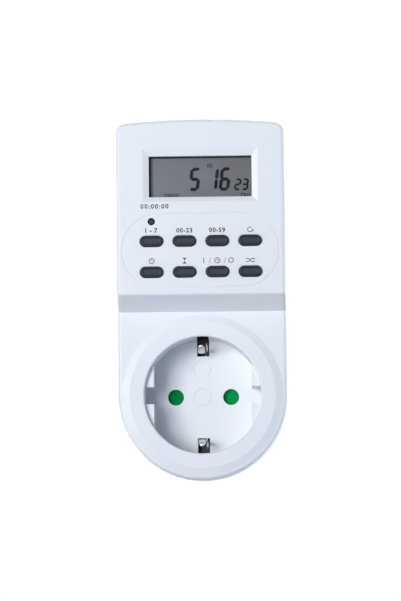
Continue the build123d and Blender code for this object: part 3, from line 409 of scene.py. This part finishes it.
# %% The clear pane
def pane_finish():
    """Clear acrylic that only the rays of the camera, mirrors and glass find in their way."""
    finish, tree, shader, place = new_finish(
        "clear_acrylic", (0.98, 0.99, 0.99), 0.02, IOR=1.12, Transmission_Weight=1.0
    )
    stretched = add_node(tree, "Mapping", {"Vector": place, "Scale": (0.1, 1, 1)}).outputs[0]
    wiping = remap(tree, noise(tree, stretched, 0.4, 5.0, 0.7), 0.62, 0.8, 0.01, 0.05)
    ripple = bump(tree, noise(tree, place, 6.0, 1.0), 0.004, 0.3)
    plug_in(tree, shader, Roughness=wiping, Normal=ripple)
    clear = add_node(tree, "BsdfTransparent").outputs["BSDF"]
    rays = add_node(tree, "LightPath").outputs
    surface = shader.outputs["BSDF"]
    for ray in ("Is Diffuse Ray", "Is Shadow Ray"):
        surface = add_node(tree, "MixShader", {0: rays[ray], 1: surface, 2: clear}).outputs[0]
    tree.links.new(surface, tree.nodes["Material Output"].inputs["Surface"])
    return finish


clear_acrylic = pane_finish()
print("finish:", clear_acrylic.name)

# %% [markdown]
# ## Key caps
#
# Each key is an oblong cap of dark rubbery plastic. Its outline is a circle pulled apart to the
# left and right, and the cap is that outline carried through rings: a stem at the back, a flange
# that keeps the cap in its hole, a straight wall, a rounded rim and a shallow dished top. A
# bevelled box would miss the dish, which is what makes the lower edge of the real cap look light.

# %% Rings of an oblong
key_low, key_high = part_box("key_day")
flange_length, flange_height = (key_high.x - key_low.x) / MM, (key_high.z - key_low.z) / MM
flange_grow = 1.0
key_pull = (flange_length - flange_height) / 2
key_radius = flange_height / 2 - flange_grow
# Y of the flange's two faces, then the stem, the rounding of the rim, and the slope and depth of
# the dish. Play keeps the cap clear of its hole, and edge_break is the small flat on each edge.
flange_front = -52.6
flange_back = -51.8
stem_radius = 1.1
rim_round = 0.38
rim_flat = 0.10
dish_slope = 0.34
dish_depth = 0.26
play = 0.02
edge_break = 0.12


def oblong_rings(centre, rings, count=64):
    """Grid of rings (pull, radius, y). A ring's x is the radius times the cosine of the angle,
    pulled out to its own side, and its z is the radius times the sine."""
    turn = (np.arange(count) + 0.5) * 2 * np.pi / count
    pull, radius, depth = np.array(rings, float).T[:, :, None]
    x = centre[0] + pull * np.sign(np.cos(turn)) + radius * np.cos(turn)
    z = centre[1] + radius * np.sin(turn)
    y = depth + 0 * turn
    return np.stack([x, y, z], -1)


def key_rings():
    """Stem, flange and wall, then a quarter circle for the rim and a smooth step into the dish."""
    outer = key_radius + flange_grow - play
    base = [
        (0, 0, key_back),
        (0, stem_radius - edge_break, key_back),
        (0, stem_radius, key_back - edge_break),
        (0, stem_radius, flange_back),
        (key_pull, outer - edge_break, flange_back),
        (key_pull, outer, flange_back - edge_break),
        (key_pull, outer, flange_front + edge_break),
        (key_pull, outer - edge_break, flange_front),
        (key_pull, key_radius, flange_front),
        (key_pull, key_radius - play, key_front + rim_round),
    ]
    angle = np.linspace(0, np.pi / 2, 7)[1:]
    rim_radius = key_radius - play - rim_round * (1 - np.cos(angle))
    rim_depth = key_front + rim_round * (1 - np.sin(angle))
    rim = [(key_pull, radius, depth) for radius, depth in zip(rim_radius, rim_depth)]
    inset = np.linspace(0, 1, 9)[1:]
    start = rim_radius[-1] - rim_flat
    dish_radius = start - inset * dish_slope
    step = inset**2 * (3 - 2 * inset)
    dish = [(key_pull, start, key_front)]
    dish += [(key_pull, r, key_front + dish_depth * s) for r, s in zip(dish_radius, step)]
    floor_depth = key_front + dish_depth
    floor = [(key_pull, dish_radius[-1] * share, floor_depth) for share in (0.6, 0.25, 0)]
    return base + rim + dish + floor


# %% The eight keys
key_names = ["day", "hour", "minute", "recall", "clock", "timer", "mode", "random"]
for name in key_names:
    low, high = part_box("key_" + name)
    centre = ((low.x + high.x) / 2 / MM, (low.z + high.z) / 2 / MM)
    cap = shell(oblong_rings(centre, key_rings()))
    make_piece(
        "cap_" + name, [cap], key_rubber, f"key_{name}_body", ["key_" + name], 50.0
    )

# %% [markdown]
# ## Figures of the display
#
# A liquid crystal figure is seven bars with pointed ends that nearly touch, leaning a few degrees.
# The bars are thin closed slips that lie on the glass. Each bar is worked out from its two ends,
# so one function makes every figure, large or small. The display shows a plain time, with the
# hour and the minutes in large figures and the seconds in small ones.

# %% Bars and figures
slip = 0.03
lean = math.tan(math.radians(7.0))
point_length = 0.42
point_half = 0.12
figure_bars = {
    "top": ((0, 2), (1, 2)),
    "upper_left": ((0, 1), (0, 2)),
    "upper_right": ((1, 1), (1, 2)),
    "middle": ((0, 1), (1, 1)),
    "lower_left": ((0, 0), (0, 1)),
    "lower_right": ((1, 0), (1, 1)),
    "bottom": ((0, 0), (1, 0)),
}
figures = {
    "1": ("upper_right", "lower_right"),
    "2": ("top", "upper_right", "middle", "lower_left", "bottom"),
    "3": ("top", "upper_right", "middle", "lower_right", "bottom"),
    "5": ("top", "upper_left", "middle", "lower_right", "bottom"),
    "6": ("top", "upper_left", "middle", "lower_left", "lower_right", "bottom"),
}


def band(first, second, front, thickness, closed=False):
    """Closed slip between two edge lines in X and Z, from the front face back by its thickness."""
    first, second = np.asarray(first, float), np.asarray(second, float)
    rows = len(first)
    front_y, back_y = np.full(rows, front), np.full(rows, front + thickness)
    corners = [
        np.stack([first[:, 0], front_y, first[:, 1]], -1),
        np.stack([second[:, 0], front_y, second[:, 1]], -1),
        np.stack([second[:, 0], back_y, second[:, 1]], -1),
        np.stack([first[:, 0], back_y, first[:, 1]], -1),
    ]
    return shell(np.stack(corners, 1), wrap_rows=closed, end_caps=not closed)


def pointed_bar(start, end, width, front, thickness, gap):
    """Bar from start to end, cut to a blunt point at both ends and shortened by the gap."""
    start, end = np.array(start, float), np.array(end, float)
    length = np.linalg.norm(end - start)
    along = (end - start) / length
    side = np.array([-along[1], along[0]])
    taper = gap + point_length * width
    places = np.array([gap, taper, length - taper, length - gap])
    half = np.array([point_half, 0.5, 0.5, point_half]) * width
    middle = start + places[:, None] * along
    return band(middle - half[:, None] * side, middle + half[:, None] * side, front, thickness)


def figure(digit, left, bottom, width, height, stroke, front, gap):
    """The lit bars of one figure, then the whole figure is leaned to the right."""
    grid = np.array([width - stroke, (height - stroke) / 2])
    origin = np.array([left, bottom]) + stroke / 2
    parts = []
    for bar in figures[digit]:
        start, end = (origin + grid * np.array(corner) for corner in figure_bars[bar])
        points, faces = pointed_bar(start, end, stroke, front, slip, gap)
        points[:, 0] += lean * (points[:, 2] - bottom)
        parts.append((points, faces))
    return parts


# %% The time on the display
lit_front = glass_front - slip
large = {"width": 3.65, "height": 8.0, "stroke": 1.12, "front": lit_front, "gap": 0.08}
small = {"width": 2.25, "height": 4.05, "stroke": 0.68, "front": lit_front, "gap": 0.05}
large_line, small_line = 68.6, 68.7
figure_parts = []
for digit, left in (("5", -4.2), ("1", 1.9), ("6", 6.05)):
    figure_parts += figure(digit, left, large_line, **large)
for digit, left in (("2", 11.3), ("3", 13.8)):
    figure_parts += figure(digit, left, small_line, **small)

# %% [markdown]
# ## Marks of the display
#
# Beside the time a display lights small marks that say what the timer does. Here they are rows of
# short upright bars, and an open ring before two of the rows. A ring is a band between two arcs,
# and the signs that are printed over the keys use the same three shapes further down.


# %% Arcs, bars and arrow heads
head_spread = 0.55


def arc_band(centre, radius, width, start, end, front, thickness, count=24):
    """Part of a ring: two arcs half a width inside and outside the radius, angles in degrees."""
    closed = end - start >= 360
    turn = np.radians(np.linspace(start, end, count, endpoint=not closed))
    spokes = np.stack([np.cos(turn), np.sin(turn)], -1)
    inner = np.array(centre) + (radius - width / 2) * spokes
    outer = np.array(centre) + (radius + width / 2) * spokes
    return band(inner, outer, front, thickness, closed)


def straight_bar(start, end, width, front, thickness):
    """Bar with square ends."""
    start, end = np.array(start, float), np.array(end, float)
    along = (end - start) / np.linalg.norm(end - start)
    side = np.array([-along[1], along[0]]) * width / 2
    line = np.stack([start, end])
    return band(line - side, line + side, front, thickness)


def arrow_head(tip, angle, size, front, thickness):
    """Triangle whose tip points along the angle, in degrees."""
    turn = math.radians(angle)
    along = np.array([math.cos(turn), math.sin(turn)])
    side = np.array([-along[1], along[0]]) * size * head_spread
    tip = np.array(tip, float)
    base = tip - along * size
    return band([base - side, tip], [base + side, tip], front, thickness)


def row_of_bars(x_start, x_end, z_low, z_high, count, width):
    """Upright bars at even distances, as a display shows that something runs."""
    return [
        straight_bar((x, z_low), (x, z_high), width, lit_front, slip)
        for x in np.linspace(x_start, x_end, count)
    ]


# %% Marks above and below the time
marks_line = 67.2
mark_width = 0.26


def open_ring(x, radius):
    """Ring on the lower marks' line with a gap at its foot."""
    return arc_band((x, marks_line), radius, mark_width, -60, 240, lit_front, slip)


day_mark = row_of_bars(2.55, 4.05, 76.5, 77.9, 4, 0.24)
clock_mark = [open_ring(-11.5, 0.6), *row_of_bars(-10.5, -7.5, 66.7, 67.8, 6, 0.25)]
off_mark = [open_ring(14.25, 0.55), *row_of_bars(15.15, 16.55, 66.7, 67.75, 3, 0.25)]
figure_parts += day_mark + clock_mark + off_mark

# %% [markdown]
# ## Ink of the figures and the captions
#
# Switched-on liquid crystal is a dark, slightly blue grey with soft edges. The captions are pad
# printed: thin matt ink that is never quite even, because the pad leaves a little less in places.
# A noise in the colour and the gloss gives that unevenness.


# %% Liquid crystal and printing ink
def ink(name, dark, light, roughness, blotch):
    """Thin print: dark ink with lighter spots where less of it was laid down."""
    finish, tree, shader, place = new_finish(name, dark, roughness, Specular_IOR_Level=0.05)
    thin = remap(tree, noise(tree, place, blotch, 3.0, 0.6), 0.5, 0.8, 0.0, 1.0)
    gloss = remap(tree, noise(tree, place, 0.6, 2.0), 0.3, 0.7, roughness - 0.06, roughness + 0.06)
    skin = bump(tree, noise(tree, place, 0.1, 2.0), 0.003, 0.4)
    plug_in(tree, shader, Base_Color=mix_colours(tree, thin, dark, light))
    plug_in(tree, shader, Roughness=gloss, Normal=skin)
    return finish


crystal_dark = ink("lit_crystal", (0.006, 0.008, 0.014), (0.014, 0.016, 0.022), 0.35, 0.5)
caption_ink = ink("caption_ink", (0.07, 0.07, 0.09), (0.15, 0.15, 0.18), 0.55, 0.25)
make_piece("display_figures", figure_parts, crystal_dark, "timer_body")

# %% [markdown]
# ## Captions
#
# Plain marks stand over the keys: the days 1 to 7, the hours 0 to 23, the minutes 0 to 59, a round
# arrow for recall, a clock face, an hourglass, the on, clock and off signs, and crossed arrows for
# random. The numbers are Blender text, turned into a mesh at the origin and only then moved to the
# face, and the signs are made from the same bands as the display's figures.

# %% Numbers as meshes
ink_front = display_face - 0.02
ink_depth = 0.03
figure_height = 1.6
letter_swell = 0.028


def printed(words, centre, spacing):
    """Text as a closed slip on the display face: made a mesh, scaled to its height and placed."""
    letters = bpy.data.curves.new("letters", "FONT")
    letters.body = words
    letters.space_character = spacing
    letters.extrude = 0.5
    letters.offset = letter_swell
    letters.resolution_u = 3
    holder = bpy.data.objects.new("letters", letters)
    mesh = bpy.data.meshes.new_from_object(holder)
    flat = np.empty(len(mesh.vertices) * 3)
    mesh.vertices.foreach_get("co", flat)
    flat = flat.reshape(-1, 3)
    low, high = flat.min(0), flat.max(0)
    scale = figure_height / (high[1] - low[1])
    x = centre[0] + (flat[:, 0] - (low[0] + high[0]) / 2) * scale
    z = centre[1] + (flat[:, 1] - (low[1] + high[1]) / 2) * scale
    y = ink_front + (high[2] - flat[:, 2]) / (high[2] - low[2]) * ink_depth
    faces = [list(polygon.vertices) for polygon in mesh.polygons]
    bpy.data.meshes.remove(mesh)
    bpy.data.objects.remove(holder)
    bpy.data.curves.remove(letters)
    return np.stack([x, y, z], -1), faces


# %% Signs over the keys
line = 0.24
hand = 0.2


def ring(centre, radius, start=0, end=360):
    """Printed ring, or a part of one."""
    return arc_band(centre, radius, line, start, end, ink_front, ink_depth, 40)


def stroke(start, end, width=line):
    """Printed line from start to end."""
    return straight_bar(start, end, width, ink_front, ink_depth)


def head(tip, angle, size=0.55):
    """Printed arrow head."""
    return arrow_head(tip, angle, size, ink_front, ink_depth)


def recall_sign(x, z):
    """Round arrow: most of a ring with a head at its end."""
    return [ring((x, z), 0.8, 50, 340), head((x + 0.98, z + 0.28), 78, 0.75)]


def clock_sign(x, z):
    """Clock face with two hands."""
    hands = [stroke((x, z), (x, z + 0.55), hand), stroke((x, z), (x + 0.42, z), hand)]
    return [ring((x, z), 0.86), *hands]


def hourglass_sign(x, z):
    """Two triangles almost tip to tip between two short bars."""
    bars = [stroke((x - 0.62, z + side * 0.85), (x + 0.62, z + side * 0.85)) for side in (-1, 1)]
    cones = [head((x, z - 0.01), 90, 0.78), head((x, z + 0.01), -90, 0.78)]
    return bars + cones


def mode_signs(x, z):
    """On, clock and off: an upright bar, a small clock face and a ring, with strokes between."""
    on_sign = [stroke((x - 4.6, z - 0.85), (x - 4.6, z + 0.85), 0.26)]
    off_sign = [ring((x + 4.6, z), 0.78)]
    slashes = [
        stroke((x + side * 2.5 - 0.35, z - 0.95), (x + side * 2.5 + 0.35, z + 0.95), 0.13)
        for side in (-1, 1)
    ]
    return on_sign + clock_sign(x, z) + off_sign + slashes


def random_sign(x, z):
    """Two arrows that change places. Each has a level start, a slope and a level end."""
    parts = []
    for rise in (0.5, -0.5):
        corners = [(x - 1.5, z + rise), (x - 0.6, z + rise)]
        corners += [(x + 0.4, z - rise), (x + 1.1, z - rise)]
        parts += [stroke(start, end) for start, end in zip(corners, corners[1:])]
        parts.append(head((x + 1.65, z - rise), 0))
    return parts


# %% Print the captions
key_columns = (-16.6, -5.53, 5.53, 16.6)
upper_captions = 55.0
lower_captions = 44.7
caption_parts = [
    printed("1 - 7", (key_columns[0], upper_captions), spacing=1.1),
    printed("00-23", (key_columns[1], upper_captions), spacing=1.15),
    printed("00-59", (key_columns[2], upper_captions), spacing=1.15),
    printed("00:00:00", (-15.5, 63.2), spacing=1.3),
]
caption_parts += recall_sign(key_columns[3], upper_captions)
caption_parts += clock_sign(key_columns[0], lower_captions)
caption_parts += hourglass_sign(key_columns[1], lower_captions)
caption_parts += mode_signs(key_columns[2], lower_captions)
caption_parts += random_sign(key_columns[3], lower_captions)
make_piece("captions", caption_parts, caption_ink, "timer_body")

# %% [markdown]
# ## Earth strap
#
# The earth strap is one strip of tinned brass. Its two clips reach forward into the slots of the
# socket, and its two longer arms lie along the plug behind. A strip is a thin section carried
# along a bent path. Cutting the corners of the path a few times rounds every bend, and letting the
# width shrink near the end rounds the tip. The section is slightly crowned, as pressed strip is.


# %% Strips along a path
def cut_corners(path, rounds=4):
    """Each round puts two points on every run, a quarter in from its ends. The ends stay."""
    for _ in range(rounds):
        first, second = path[:-1], path[1:]
        pairs = np.stack([0.75 * first + 0.25 * second, 0.25 * first + 0.75 * second], 1)
        path = np.concatenate([path[:1], pairs.reshape(-1, path.shape[1])[1:-1], path[-1:]])
    return path


def even_steps(path, count):
    """Points at even distances along a line."""
    runs = np.linalg.norm(np.diff(path, axis=0), axis=1)
    travelled = np.concatenate([[0], np.cumsum(runs)])
    wanted = np.linspace(0, travelled[-1], count)
    return np.stack([np.interp(wanted, travelled, column) for column in path.T], -1)


def strip(path, half_width, thickness, crown=0.08, tip=0.0, x_middle=0.0, count=70, across=13):
    """Strip whose middle follows (y, z) points. Across it, the thickness falls to nothing at the
    two edges along a rounded curve, and the last part of its length narrows as a half ellipse,
    down to a thirtieth of the width, so that its end is still a face."""
    line_points = even_steps(cut_corners(np.array(path, float)), count)
    direction = np.gradient(line_points, axis=0)
    direction /= np.linalg.norm(direction, axis=1, keepdims=True)
    normal = np.stack([-direction[:, 1], direction[:, 0]], -1)
    share = np.linspace(0, 1, count)
    past = np.clip((share - 1 + tip) / max(tip, 1e-9), 0, 1)
    width = half_width * np.sqrt(1 - 0.999 * past**2)
    over = np.concatenate([np.linspace(-1, 1, across), np.linspace(1, -1, across)[1:-1]])
    side = np.concatenate([np.ones(across), -np.ones(across - 2)])
    offset = side * thickness / 2 * np.sqrt(1 - over**8) + crown * (1 - over**2)
    x = x_middle + width[:, None] * over
    y = line_points[:, :1] + normal[:, :1] * offset
    z = line_points[:, 1:] + normal[:, 1:] * offset
    return shell(np.stack([x, y, z], -1), end_caps=True)


# %% Clips, side leaves and rear contacts
strap_middle = -21.6
clip_x = -0.45
leaf_x = 1.35


def earth_side(side):
    """One half of the strap. Side is 1 for the upper half and -1 for the lower half."""
    clip_path = [(strap_middle, 12.0), (strap_middle, 15.9), (-28.5, 15.9), (-34.0, 14.8)]
    clip_path += [(-38.5, 15.6), (-41.0, 16.7), (-40.3, 17.3)]
    rear_path = [(strap_middle, 12.0), (strap_middle, 17.6)]
    rear_path += [(-16.0, 17.6), (-8.0, 18.2), (-2.3, 16.9)]
    leaf_path = [(strap_middle, 14.0), (-27.0, 15.6), (-34.0, 16.4), (-38.0, 16.9), (-39.2, 17.7)]

    def turned(path):
        return [(y, side * z) for y, z in path]

    clip = strip(turned(clip_path), 1.2, 0.45, crown=0.1 * side, tip=0.08, x_middle=clip_x)
    rear = strip(turned(rear_path), 2.2, 0.6, crown=-0.12 * side, tip=0.1)
    leaf = strip(turned(leaf_path), 0.28, 0.9, crown=0.0, tip=0.05, x_middle=leaf_x, across=7)
    return [clip, rear, leaf]


bridge_path = [(strap_middle, -13.6), (strap_middle, 13.6)]
bridge = strip(bridge_path, 2.5, 0.8, crown=0.05, count=24)
strap_parts = [bridge, *earth_side(1), *earth_side(-1)]
make_piece(
    "earth_clips", strap_parts, tinned_strip, "timer_body", ["earth_strap"], 60.0
)

# %% [markdown]
# ## Dark plates behind the earth slots, as painted shade
#
# Each earth slot leads into a passage beside the strap that is open as far as the plug's side, and
# a white line of daylight would show through it. A thin dark plate closes the passage so that it
# looks shaded there: a dark sheet put in as painted shade. It is a flat plate between two square
# loops, dark as the carrier, and it just fills the passage.

# %% The two dark plates
shade_plate_front, shade_plate_back = -23.5, -22.9
shade_plate_inner, shade_plate_outer = 16.25, 18.4
shade_plate_half = 2.95


def passage_shade_plate(side):
    """Flat dark plate across the passage, put there as painted shade. Side is 1 above the socket's
    axis and -1 below it.
    """
    low, high = sorted((side * shade_plate_inner, side * shade_plate_outer))
    corners = [(-shade_plate_half, low), (shade_plate_half, low), (shade_plate_half, high), (-shade_plate_half, high)]
    loops = [[(x, y, z) for x, z in corners] for y in (shade_plate_back, shade_plate_front)]
    return shell(np.array(loops), end_caps=True)


shade_plates = [passage_shade_plate(1), passage_shade_plate(-1)]
# Dark plates that stand in for the shade in the two passages.
make_piece("passage_shade_plates", shade_plates, carrier_black, "timer_body")

# %% [markdown]
# ## Finishes of the pieces inside
#
# Nobody sees the boards and wires while the housing is shut, but the part can be opened or cut, so
# each of them gets a finish of its own as well. Circuit boards show copper tracks under a lacquer,
# which a wave pattern bent by noise suggests, and the other pieces use the moulded and brushed
# recipes with their own colours.


# %% Circuit boards
def board(name, lacquer, copper, roughness):
    """Lacquered board: bands of copper under the lacquer, raised by the copper's thickness."""
    finish, tree, shader, place = new_finish(name, lacquer, roughness, Coat_Weight=0.3)
    values = {"Vector": place, "Scale": 1 / (9.0 * MM), "Distortion": 3.0, "Detail": 1.0}
    waves = add_node(tree, "TexWave", values, bands_direction="X").outputs["Fac"]
    tracks = remap(tree, waves, 0.42, 0.46, 0.0, 1.0)
    weave = noise(tree, place, 0.4, 3.0)
    colour = mix_colours(tree, tracks, lacquer, copper)
    gloss = remap(tree, weave, 0.3, 0.7, roughness - 0.05, roughness + 0.08)
    relief = bump(tree, maths(tree, "ADD", tracks, maths(tree, "MULTIPLY", weave, 0.2)), 0.035)
    plug_in(tree, shader, Base_Color=colour, Roughness=gloss, Normal=relief)
    return finish


# %% Every other piece of the model
hidden_finishes = {
    "black_plastic": moulded("holder_black", (0.03, 0.03, 0.03), 0.5),
    "elastomer": moulded("contact_rubber", (0.35, 0.20, 0.30), 0.6, grain=0.4, depth=0.02),
    "spring_steel": brushed("spring_steel", (0.60, 0.60, 0.60), 0.28),
    "contact_brass": brushed("contact_brass", (0.78, 0.60, 0.30), 0.32, along=(1, 0.1, 0.1)),
    "silicone": moulded("mat_silicone", (0.60, 0.62, 0.63), 0.55, Subsurface_Weight=0.15),
    "green_board": board("green_board", (0.02, 0.18, 0.07), (0.03, 0.28, 0.10), 0.30),
    "black_epoxy": moulded("black_epoxy", (0.02, 0.02, 0.02), 0.35, grain=0.5, depth=0.03),
    "crystal_can": brushed("crystal_can", (0.65, 0.65, 0.65), 0.22, along=(1, 1, 0.1)),
    "small_parts": moulded("fired_ceramic", (0.45, 0.36, 0.26), 0.55, grain=0.1),
    "cell_steel": brushed("cell_steel", (0.70, 0.70, 0.70), 0.24),
    "nickel_tabs": brushed("nickel_tabs", (0.75, 0.73, 0.68), 0.30, along=(0.1, 1, 1)),
    "power_laminate": board("power_laminate", (0.50, 0.36, 0.16), (0.42, 0.26, 0.08), 0.38),
    "relay_plastic": moulded("relay_blue", (0.02, 0.06, 0.25), 0.30),
    "capacitor_box": moulded("film_yellow", (0.60, 0.50, 0.10), 0.32),
    "capacitor_sleeve": moulded("sleeve_dark", (0.02, 0.02, 0.05), 0.28, grain=0.8, depth=0.02),
    "resistor_coat": moulded("resistor_tan", (0.55, 0.42, 0.28), 0.5, grain=0.6, depth=0.03),
    "varistor_coat": moulded("varistor_blue", (0.02, 0.10, 0.35), 0.45, grain=0.7, depth=0.04),
    "fuse_plastic": moulded("fuse_brown", (0.10, 0.02, 0.02), 0.35),
    "ribbon_vinyl": moulded("ribbon_grey", (0.50, 0.50, 0.50), 0.5),
    "header_plastic": moulded("header_white", (0.75, 0.74, 0.70), 0.45),
    "brown_insulation": moulded("wire_brown", (0.17, 0.07, 0.03), 0.45),
    "black_insulation": moulded("wire_black", (0.02, 0.02, 0.02), 0.45),
    "blue_insulation": moulded("wire_blue", (0.03, 0.12, 0.45), 0.45),
}
seen_finishes = {
    "white_shell": white_abs,
    "clear_pane": clear_acrylic,
    "display_glass": display_film,
    "green_plastic": shutter_green,
    "carrier_plastic": carrier_black,
    "tinned_strip": tinned_strip,
    "nickel_pins": nickel_pins,
    "screw_steel": screw_steel,
    "grey_keys": key_rubber,
}
finish_of_slot = {**hidden_finishes, **seen_finishes}
for subpart in frame["record"]["subparts"]:
    for material_slot in nodes[subpart["node"]].material_slots:
        material_slot.material = finish_of_slot[subpart["material_slot"]]

# %% [markdown]
# ## Camera
#
# A long lens from about a metre away shows the timer almost without perspective, so its front
# keeps its true proportions. The camera stands a little below the middle and a little to the
# right, and looks slightly up and left. Three turns describe it: how far it looks aside, how far
# up, and how far it leans.

# %% The camera
eye = (16.0, -985.0, -48.3)
aside, upwards, leaning = (math.radians(angle) for angle in (-1.003, 4.885, -0.559))
focal_length = 166.5
level = math.cos(upwards)
forward = Vector((math.sin(aside) * level, math.cos(aside) * level, math.sin(upwards)))
level_right = Vector((math.cos(aside), -math.sin(aside), 0))
level_up = level_right.cross(forward)
right = math.cos(leaning) * level_right + math.sin(leaning) * level_up
up = math.cos(leaning) * level_up - math.sin(leaning) * level_right
camera_data = bpy.data.cameras.new("camera")
camera_data.lens = focal_length
camera_data.clip_start, camera_data.clip_end = 0.05, 20.0
camera = bpy.data.objects.new("camera", camera_data)
camera_axes = Matrix((right, up, -forward)).transposed().to_4x4()
camera.matrix_world = Matrix.Translation(Vector(eye) * MM) @ camera_axes
bpy.context.scene.collection.objects.link(camera)
bpy.context.scene.camera = camera
print(f"camera looks {math.degrees(upwards):.1f} degrees up")

# %% [markdown]
# ## Studio
#
# The light is a pale room with a few big soft lamps. The room is the world's even, faintly blue
# light, which reaches into the socket from all sides. The lamps give the faces their small
# differences: most light comes from the front left, a little grazes the front from either side,
# and three lamps behind light the sides, the top and the back. The level of a lamp is written as
# the brightness that a white sheet facing it would have, and turned into watts. The camera,
# mirrors and glass see plain white where there is nothing, and the camera sees the pale floor
# grow white towards its edge, so the floor has no visible end.

# %% Floor
floor_height = -95.0
floor_half = 1000.0
fade_start, fade_end = 450.0, 950.0
middle_whiteness = 0.80
bpy.context.scene.view_settings.view_transform = "Standard"


def floor_finish():
    """Pale matt floor that still takes shadows and looks white to the camera at its edge."""
    finish, tree, shader, place = new_finish("pale_floor", (0.51, 0.54, 0.62), 0.6)
    cloud = remap(tree, noise(tree, place, 300.0, 3.0), 0.3, 0.7, 0.0, 1.0)
    colour = mix_colours(tree, cloud, (0.49, 0.52, 0.60), (0.53, 0.56, 0.64))
    plug_in(tree, shader, Base_Color=colour)
    rays = add_node(tree, "LightPath").outputs
    from_middle = add_node(tree, "VectorMath", {0: place}, operation="LENGTH").outputs["Value"]
    fade = (fade_start * MM, fade_end * MM)
    whiteness = remap(tree, from_middle, *fade, middle_whiteness, 1.0)
    seen = maths(tree, "MULTIPLY", rays["Is Camera Ray"], whiteness)
    white = add_node(tree, "Emission", {"Strength": 1.0}).outputs["Emission"]
    mixed = add_node(tree, "MixShader", {0: seen, 1: shader.outputs["BSDF"], 2: white})
    tree.links.new(mixed.outputs["Shader"], tree.nodes["Material Output"].inputs["Surface"])
    return finish


floor_corners = np.array([(-1, -1), (1, -1), (1, 1), (-1, 1)]) * floor_half
floor_points = np.column_stack([floor_corners, np.full(4, floor_height)]) * MM
floor_mesh = bpy.data.meshes.new("floor")
floor_mesh.from_pydata(floor_points.tolist(), [], [(0, 1, 2, 3)])
floor_mesh.materials.append(floor_finish())
floor = bpy.data.objects.new("floor", floor_mesh)
bpy.context.scene.collection.objects.link(floor)
print(f"floor {-floor_height:.0f} mm below the socket's axis")

# %% World light
room_level = 0.05
room_blue = (0.25, 0.45, 1, 1)
world = bpy.data.worlds.new("white_room")
bpy.context.scene.world = world
world.use_nodes = True
room = world.node_tree
room.nodes.clear()
rays = add_node(room, "LightPath").outputs
seen = maths(room, "MAXIMUM", rays["Is Camera Ray"], rays["Is Glossy Ray"])
seen = maths(room, "MAXIMUM", seen, rays["Is Transmission Ray"])
lit = add_node(room, "Background", {"Color": room_blue, "Strength": room_level}).outputs[0]
plain = add_node(room, "Background", {"Color": (1, 1, 1, 1), "Strength": 1.0}).outputs[0]
both = add_node(room, "MixShader", {0: seen, 1: lit, 2: plain}).outputs[0]
add_node(room, "OutputWorld", {"Surface": both})
print(f"room light {room_level}")

# %% Soft lamps
target = Vector((0, -45, 30)) * MM


def soft_lamp(name, towards, distance, size, level, colour):
    """Square lamp that looks at the timer from a direction. Its watts are the level times the
    square of pi times the distance."""
    data = bpy.data.lights.new(name, "AREA")
    data.shape = "SQUARE"
    data.size = size
    data.energy = level * (math.pi * distance) ** 2
    data.color = colour
    lamp = bpy.data.objects.new(name, data)
    direction = Vector(towards).normalized()
    lamp.location = target + direction * distance
    lamp.rotation_euler = direction.to_track_quat("Z", "Y").to_euler()
    lamp.visible_camera = False
    bpy.context.scene.collection.objects.link(lamp)
    print(f"{name}: {data.energy:.2f} W")


# Direction, distance and size in metres, level and colour of each lamp.
lamp_levels = {
    "key_lamp": ((-0.42, -0.907, 0.035), 1.6, 0.74, 0.93, (0.985, 1, 0.985)),
    "right_lamp": ((0.87, -0.28, 0.40), 1.2, 0.6, 0.12, (0.9, 0.95, 1)),
    "left_lamp": ((-0.985, -0.17, 0.0), 0.9, 0.6, 0.11, (0.66, 0.74, 1)),
    "rear_top_lamp": ((0.2, 0.5, 0.85), 0.9, 0.6, 0.48, (0.95, 0.97, 1)),
    "rear_right_lamp": ((0.95, 0.3, 0.1), 0.9, 0.6, 0.50, (0.92, 0.96, 1)),
    "rear_left_lamp": ((-0.15, 0.95, 0.15), 0.9, 0.6, 0.55, (0.95, 0.97, 1)),
}
for name, setting in lamp_levels.items():
    soft_lamp(name, *setting)
